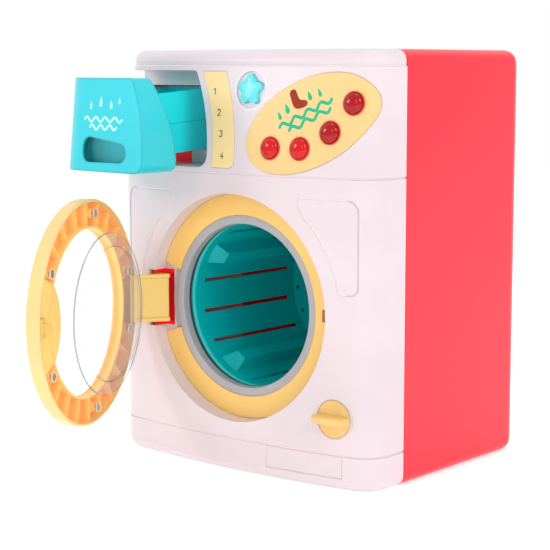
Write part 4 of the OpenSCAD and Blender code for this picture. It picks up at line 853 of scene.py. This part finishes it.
class TOY_OT_oval_print(bpy.types.Operator):
    """Prints a plain design of waves, drops and a sock on the oval plate"""

    bl_idname = "toy.oval_print"
    bl_label = "Oval print"

    def execute(self, context):
        width = context.scene.toy_sizes.stroke / MM * OVAL_STROKES

        def face(x, z):
            return panel_at(x, z) - OVAL_PROUD

        green = bmesh.new()
        for first, last, height, swings in OVAL_WAVES:
            points = [on_oval(s, t) for s, t in wave(first, last, height, OVAL_SWING, swings)]
            printed(green, band(points, width), face)
        for s, t, size in OVAL_DROPS:
            printed(green, drop(on_oval(s, t), size, OVAL_TILT), face)
        new_piece("oval_waves", green, "cabinet", FINISHES["PrintGreen"])
        brown = bmesh.new()
        outline = [
            on_oval(SOCK_PLACE[0] + u * SOCK_SCALE, SOCK_PLACE[1] + w * SOCK_SCALE)
            for u, w in soft_outline(SOCK)
        ]
        printed(brown, outline, face)
        new_piece("oval_sock", brown, "cabinet", FINISHES["PrintBrown"])
        return {"FINISHED"}


DRAWER_WAVES = ((-82.0, -44.0, 234.6, 4), (-76.0, -49.0, 229.6, 3))
DRAWER_SWING, DRAWER_STROKES = 1.5, 1.15
DRAWER_DROPS = ((-76.0, 244.0, 2.8), (-66.0, 246.5, 3.6), (-55.5, 244.5, 3.0), (-47.5, 247.0, 2.2))


class TOY_OT_drawer_print(bpy.types.Operator):
    """Prints pale waves and drops on the drawer front"""

    bl_idname = "toy.drawer_print"
    bl_label = "Drawer print"

    def execute(self, context):
        width = context.scene.toy_sizes.stroke / MM * DRAWER_STROKES

        def face(x, z):
            return panel_at(x, z + DRAWER_DROP) - DRAWER_OUT

        mesh = bmesh.new()
        for first, last, height, swings in DRAWER_WAVES:
            printed(mesh, band(wave(first, last, height, DRAWER_SWING, swings), width), face)
        for x, z, size in DRAWER_DROPS:
            printed(mesh, drop((x, z), size), face)
        new_piece("drawer_print", mesh, "drawer", FINISHES["PrintPale"])
        return {"FINISHED"}


STAR_R, STAR_WAVE, STAR_PROUD, STAR_SKIRT = 8.6, 1.5, 1.6, 0.6
STAR_POINTS, STAR_STEPS, STAR_RINGS, STAR_SHARP = 5, 120, 10, 70.0
STAR_FALL = 3.2
STAR_MARK_HEIGHT = 0.97


def star_turn():
    """Matrix of the leaning star: its middle, on the button's face."""
    y = crown(STAR_X) + (STAR_Z - PANEL_Z) * math.tan(PANEL_LEAN) - HALF_DEPTH
    place = Matrix.Translation(Vector((STAR_X, y, STAR_Z)) * MM)
    return place @ Matrix.Rotation(-PANEL_LEAN, 4, "X") @ Matrix.Translation((0, -STAR_PROUD * MM, 0))


class TOY_OT_star(bpy.types.Operator):
    """Gives the star button its domed face and its two marks"""

    bl_idname = "toy.star"
    bl_label = "Star button"

    def execute(self, context):
        dome = context.scene.toy_sizes.star_dome / MM
        put = placed(star_turn())
        shares = [(k + 1) / (STAR_RINGS + 1) for k in range(STAR_RINGS + 1)]
        levels = [(f, -dome * math.sqrt(1 - f ** STAR_FALL)) for f in shares] + [(1.0, STAR_SKIRT)]
        mesh = bmesh.new()
        loops = []
        for f, y in levels:
            loop = []
            for t in angles(STAR_STEPS):
                r = (STAR_R + STAR_WAVE * math.cos(STAR_POINTS * (t - math.pi / 2)) * f) * f
                loop.append(mesh.verts.new(put(r * math.cos(t), y, r * math.sin(t))))
            loops.append(loop)
        join_loops(mesh, loops)
        mesh.faces.new(loops[0])
        mesh.faces.new(loops[-1][::-1])
        new_piece("star_face", mesh, "button", FINISHES["StarBlue"], STAR_SHARP)

        def flat(x, z):
            return -dome * STAR_MARK_HEIGHT

        marks = bmesh.new()
        printed(marks, band([(0, 1.5), (0, 4.4)], 0.9), flat)
        printed(marks, band([(-3.6, 0.0), (3.6, 0.0)], 0.5), flat)
        ring_print(marks, (0, -3.0), 1.9, 1.15, flat)
        marks.transform(star_turn())
        new_piece("star_marks", marks, "button", FINISHES["PrintPale"])
        return {"FINISHED"}


# Measures of the shut door, from its middle axis and from the front's foremost line
DOOR_IN_R = 55.0
GRIP_R, GRIP_IN, GRIP_OVERLAP = 40.0, 15.0, 0.5
GRIP_STEPS, GRIP_BACK_STEPS = 40, 24
GRIP_LAYERS = ((3.9, 0.0), (9.7, 0.0), (10.3, 0.25), (10.5, 0.8))
SCREW_TURNS = (30, 97, 162, 198, 263, 330)
SCREW_R = 64.6
FLANGE_Y = 12.3
WASHER_PROFILE = ((2.5, -0.05), (2.6, 0.5), (3.0, 0.75), (3.4, 0.5), (3.5, -0.05))
WASHER_STEPS = 32


def from_shut(x, y, z):
    """Millimetres drawn with the door shut, to metres with the door open."""
    dx, dy = x - HINGE[0], y - HALF_DEPTH - HINGE[1]
    c, w = math.cos(DOOR_OPEN), math.sin(DOOR_OPEN)
    return Vector((HINGE[0] + dx * c + dy * w, HINGE[1] - dx * w + dy * c, z)) * MM


def beside_screw(turn):
    """A function that takes millimetres beside a screw of the shut door to metres with it open."""
    x, z = on_circle(SCREW_R, turn)
    return lambda u, v, w: from_shut(x + u, FLANGE_Y + v, PORT_Z + z + w)


class TOY_OT_door_trim(bpy.types.Operator):
    """Adds the deep finger grip and the washers under the door's screws"""

    bl_idname = "toy.door_trim"
    bl_label = "Door trim"

    def execute(self, context):
        middle = DOOR_IN_R + GRIP_R - GRIP_IN
        far = (middle ** 2 + DOOR_IN_R ** 2 - GRIP_R ** 2) / (2 * middle)
        half = math.sqrt(DOOR_IN_R ** 2 - far ** 2)
        bow = math.asin(half / GRIP_R)
        ring = math.asin(half / DOOR_IN_R)
        back_r = DOOR_IN_R + GRIP_OVERLAP
        front = [on_circle(GRIP_R, math.pi - t, (middle, 0.0)) for t in spread(-bow, bow, GRIP_STEPS)]
        back = [on_circle(back_r, t) for t in spread(ring, -ring, GRIP_BACK_STEPS)]
        mesh = bmesh.new()
        loops = []
        for y, inset in GRIP_LAYERS:
            outline = [(x + inset, z) for x, z in front] + back
            lower = 1 - inset / half
            loops.append([mesh.verts.new(from_shut(x, y, PORT_Z + z * lower)) for x, z in outline])
        join_loops(mesh, loops)
        for loop in (loops[0][::-1], loops[-1]):
            bmesh.ops.triangulate(mesh, faces=[mesh.faces.new(loop)])
        new_piece("door_grip", mesh, "door", FINISHES["DoorAmber"])

        washers = bmesh.new()
        for turn in SCREW_TURNS:
            lathe(washers, WASHER_PROFILE, WASHER_STEPS, beside_screw(math.radians(turn)))
        new_piece("screw_washers", washers, "door", FINISHES["WasherPale"])
        return {"FINISHED"}


# The liners' section of (radius from the port's axis, depth), and how far above the axis they run
LINER_SECTION = ((76.1, 6.2), (76.1, 15.5), (78.1, 15.5), (78.1, 6.6))
LINER_FROM, LINER_TO, LINER_STEPS = 17.1, 19.4, 3


class TOY_OT_slot_liners(bpy.types.Operator):
    """Adds the red strips above and below the hinge arm, in the wall of the recess"""

    bl_idname = "toy.slot_liners"
    bl_label = "Slot liners"

    def execute(self, context):
        mesh = bmesh.new()
        for side in (-1, 1):
            rows = []
            for z in spread(LINER_FROM, LINER_TO, LINER_STEPS):
                places = [
                    (-math.sqrt(r * r - z * z), y - HALF_DEPTH, PORT_Z + side * z) for r, y in LINER_SECTION
                ]
                rows.append([mesh.verts.new(Vector(place) * MM) for place in places])
            join_loops(mesh, rows)
            mesh.faces.new(rows[0])
            mesh.faces.new(rows[-1][::-1])
        # The strips wear the inner red with its painted glow
        new_piece("slot_liners", mesh, "cabinet", FINISHES["InnerRed"])
        return {"FINISHED"}


FLOOR_HALF, FLOOR_CELLS, FLOOR_DROP = 3.0, 12, 0.0002
LIGHT_AIM = Vector((0, 0, 0.13))
LIGHTS = (
    ("key_light", (1.9, -0.9, 1.5), 0.85, 14.5),
    ("left_light", (-1.2, -1.7, 0.8), 0.5, 6.0),
    ("front_light", (0.5, -2.4, 1.2), 0.7, 3.5),
    ("top_light", (0.1, 0.1, 2.3), 1.0, 7.0),
)
CAMERA_PLACE = (0.69285, -0.87963, 0.26894)
CAMERA_YAW, CAMERA_PITCH = math.radians(-39.64), math.radians(-7.41)
CAMERA_LENS, CAMERA_SENSOR, CAMERA_REACH = 104.94, 36.0, 20.0


class TOY_OT_stage(bpy.types.Operator):
    """Makes the floor, the air, the lights and the camera"""

    bl_idname = "toy.stage"
    bl_label = "Stage"

    def execute(self, context):
        scene = context.scene
        self.lay_floor(scene)
        self.fill_air(scene)
        self.hang_lights(scene)
        self.place_camera(scene)
        return {"FINISHED"}

    def lay_floor(self, scene):
        """A wide pale floor just under the toy's foot."""
        mesh = bmesh.new()
        bmesh.ops.create_grid(mesh, x_segments=FLOOR_CELLS, y_segments=FLOOR_CELLS, size=FLOOR_HALF)
        for v in mesh.verts:
            v.co.z = -FLOOR_DROP
        data = bpy.data.meshes.new("studio_floor")
        mesh.to_mesh(data)
        mesh.free()
        floor = bpy.data.objects.new("studio_floor", data)
        scene.collection.objects.link(floor)
        ground = Finish("StudioFloor", (0.9, 0.9, 0.9))
        where = ground.place()
        speck = ground.noise(where, 40.0, 3.0)
        pale = ground.mix(speck, (0.97, 0.97, 0.97), (0.99, 0.99, 0.99))
        ground.set(Base_Color=pale, Roughness=0.85 + speck * 0.1, Specular_IOR_Level=0.0)
        ground.set(Emission_Color=pale, Emission_Strength=0.35)
        ground.bump(ground.noise(where, 900.0), 0.03, 0.0003)
        data.materials.append(ground.material)

    def fill_air(self, scene):
        """White behind the toy and dimmer on the camera's side, so that gloss has something to show."""
        world = bpy.data.worlds.new("StudioAir")
        world.use_nodes = True
        air = Bench(world.node_tree, world.node_tree.nodes["Background"])
        way = air.parts(air.node("ShaderNodeTexCoord")["Generated"])
        behind = way["X"] * math.sin(CAMERA_YAW) + way["Y"] * math.cos(CAMERA_YAW)
        white = air.between(behind, -0.3, 0.55)
        air.set(Color=air.mix(white, (0.66, 0.66, 0.67), (1.0, 1.0, 1.0)), Strength=1.0)
        scene.world = world
        scene.view_settings.view_transform = "Standard"

    def hang_lights(self, scene):
        """Soft square lights that all look at the toy."""
        for name, place, size, power in LIGHTS:
            lamp = bpy.data.lights.new(name, "AREA")
            lamp.energy = power
            lamp.size = size
            lit = bpy.data.objects.new(name, lamp)
            lit.location = place
            lit.rotation_euler = (LIGHT_AIM - Vector(place)).to_track_quat("-Z", "Y").to_euler()
            scene.collection.objects.link(lit)

    def place_camera(self, scene):
        """The camera that was fitted to the photo's corners."""
        lens = bpy.data.cameras.new("photo_camera")
        lens.sensor_width = CAMERA_SENSOR
        lens.lens = CAMERA_LENS
        lens.clip_end = CAMERA_REACH
        eye = bpy.data.objects.new("photo_camera", lens)
        level = math.cos(CAMERA_PITCH)
        ahead = Vector((math.sin(CAMERA_YAW) * level, math.cos(CAMERA_YAW) * level, math.sin(CAMERA_PITCH)))
        right = Vector((math.cos(CAMERA_YAW), -math.sin(CAMERA_YAW), 0.0))
        look = Matrix((right, right.cross(ahead), -ahead)).transposed().to_4x4()
        eye.matrix_world = Matrix.Translation(CAMERA_PLACE) @ look
        scene.collection.objects.link(eye)
        scene.camera = eye


STEPS = (
    TOY_OT_finishes,
    TOY_OT_lamps,
    TOY_OT_strip_numbers,
    TOY_OT_oval_print,
    TOY_OT_drawer_print,
    TOY_OT_star,
    TOY_OT_door_trim,
    TOY_OT_slot_liners,
    TOY_OT_stage,
)


class TOY_PT_sidebar(bpy.types.Panel):
    """Lists the toy's colours, sizes and steps in the sidebar"""

    bl_idname = "TOY_PT_sidebar"
    bl_label = "Toy washer"
    bl_space_type = "VIEW_3D"
    bl_region_type = "UI"
    bl_category = "Toy washer"

    def draw(self, context):
        for group in (context.scene.toy_colours, context.scene.toy_sizes):
            box = self.layout.box()
            for name in type(group).__annotations__:
                box.prop(group, name)
        for step in STEPS:
            self.layout.operator(step.bl_idname)


CLASSES = (ToyColours, ToySizes, *STEPS, TOY_PT_sidebar)


def register():
    for made in CLASSES:
        bpy.utils.register_class(made)
    bpy.types.Scene.toy_colours = bpy.props.PointerProperty(type=ToyColours)
    bpy.types.Scene.toy_sizes = bpy.props.PointerProperty(type=ToySizes)


def unregister():
    del bpy.types.Scene.toy_colours
    del bpy.types.Scene.toy_sizes
    for made in reversed(CLASSES):
        bpy.utils.unregister_class(made)


def main():
    register()
    for step in STEPS:
        family, name = step.bl_idname.split(".")
        getattr(getattr(bpy.ops, family), name)()


if __name__ == "__main__":
    main()
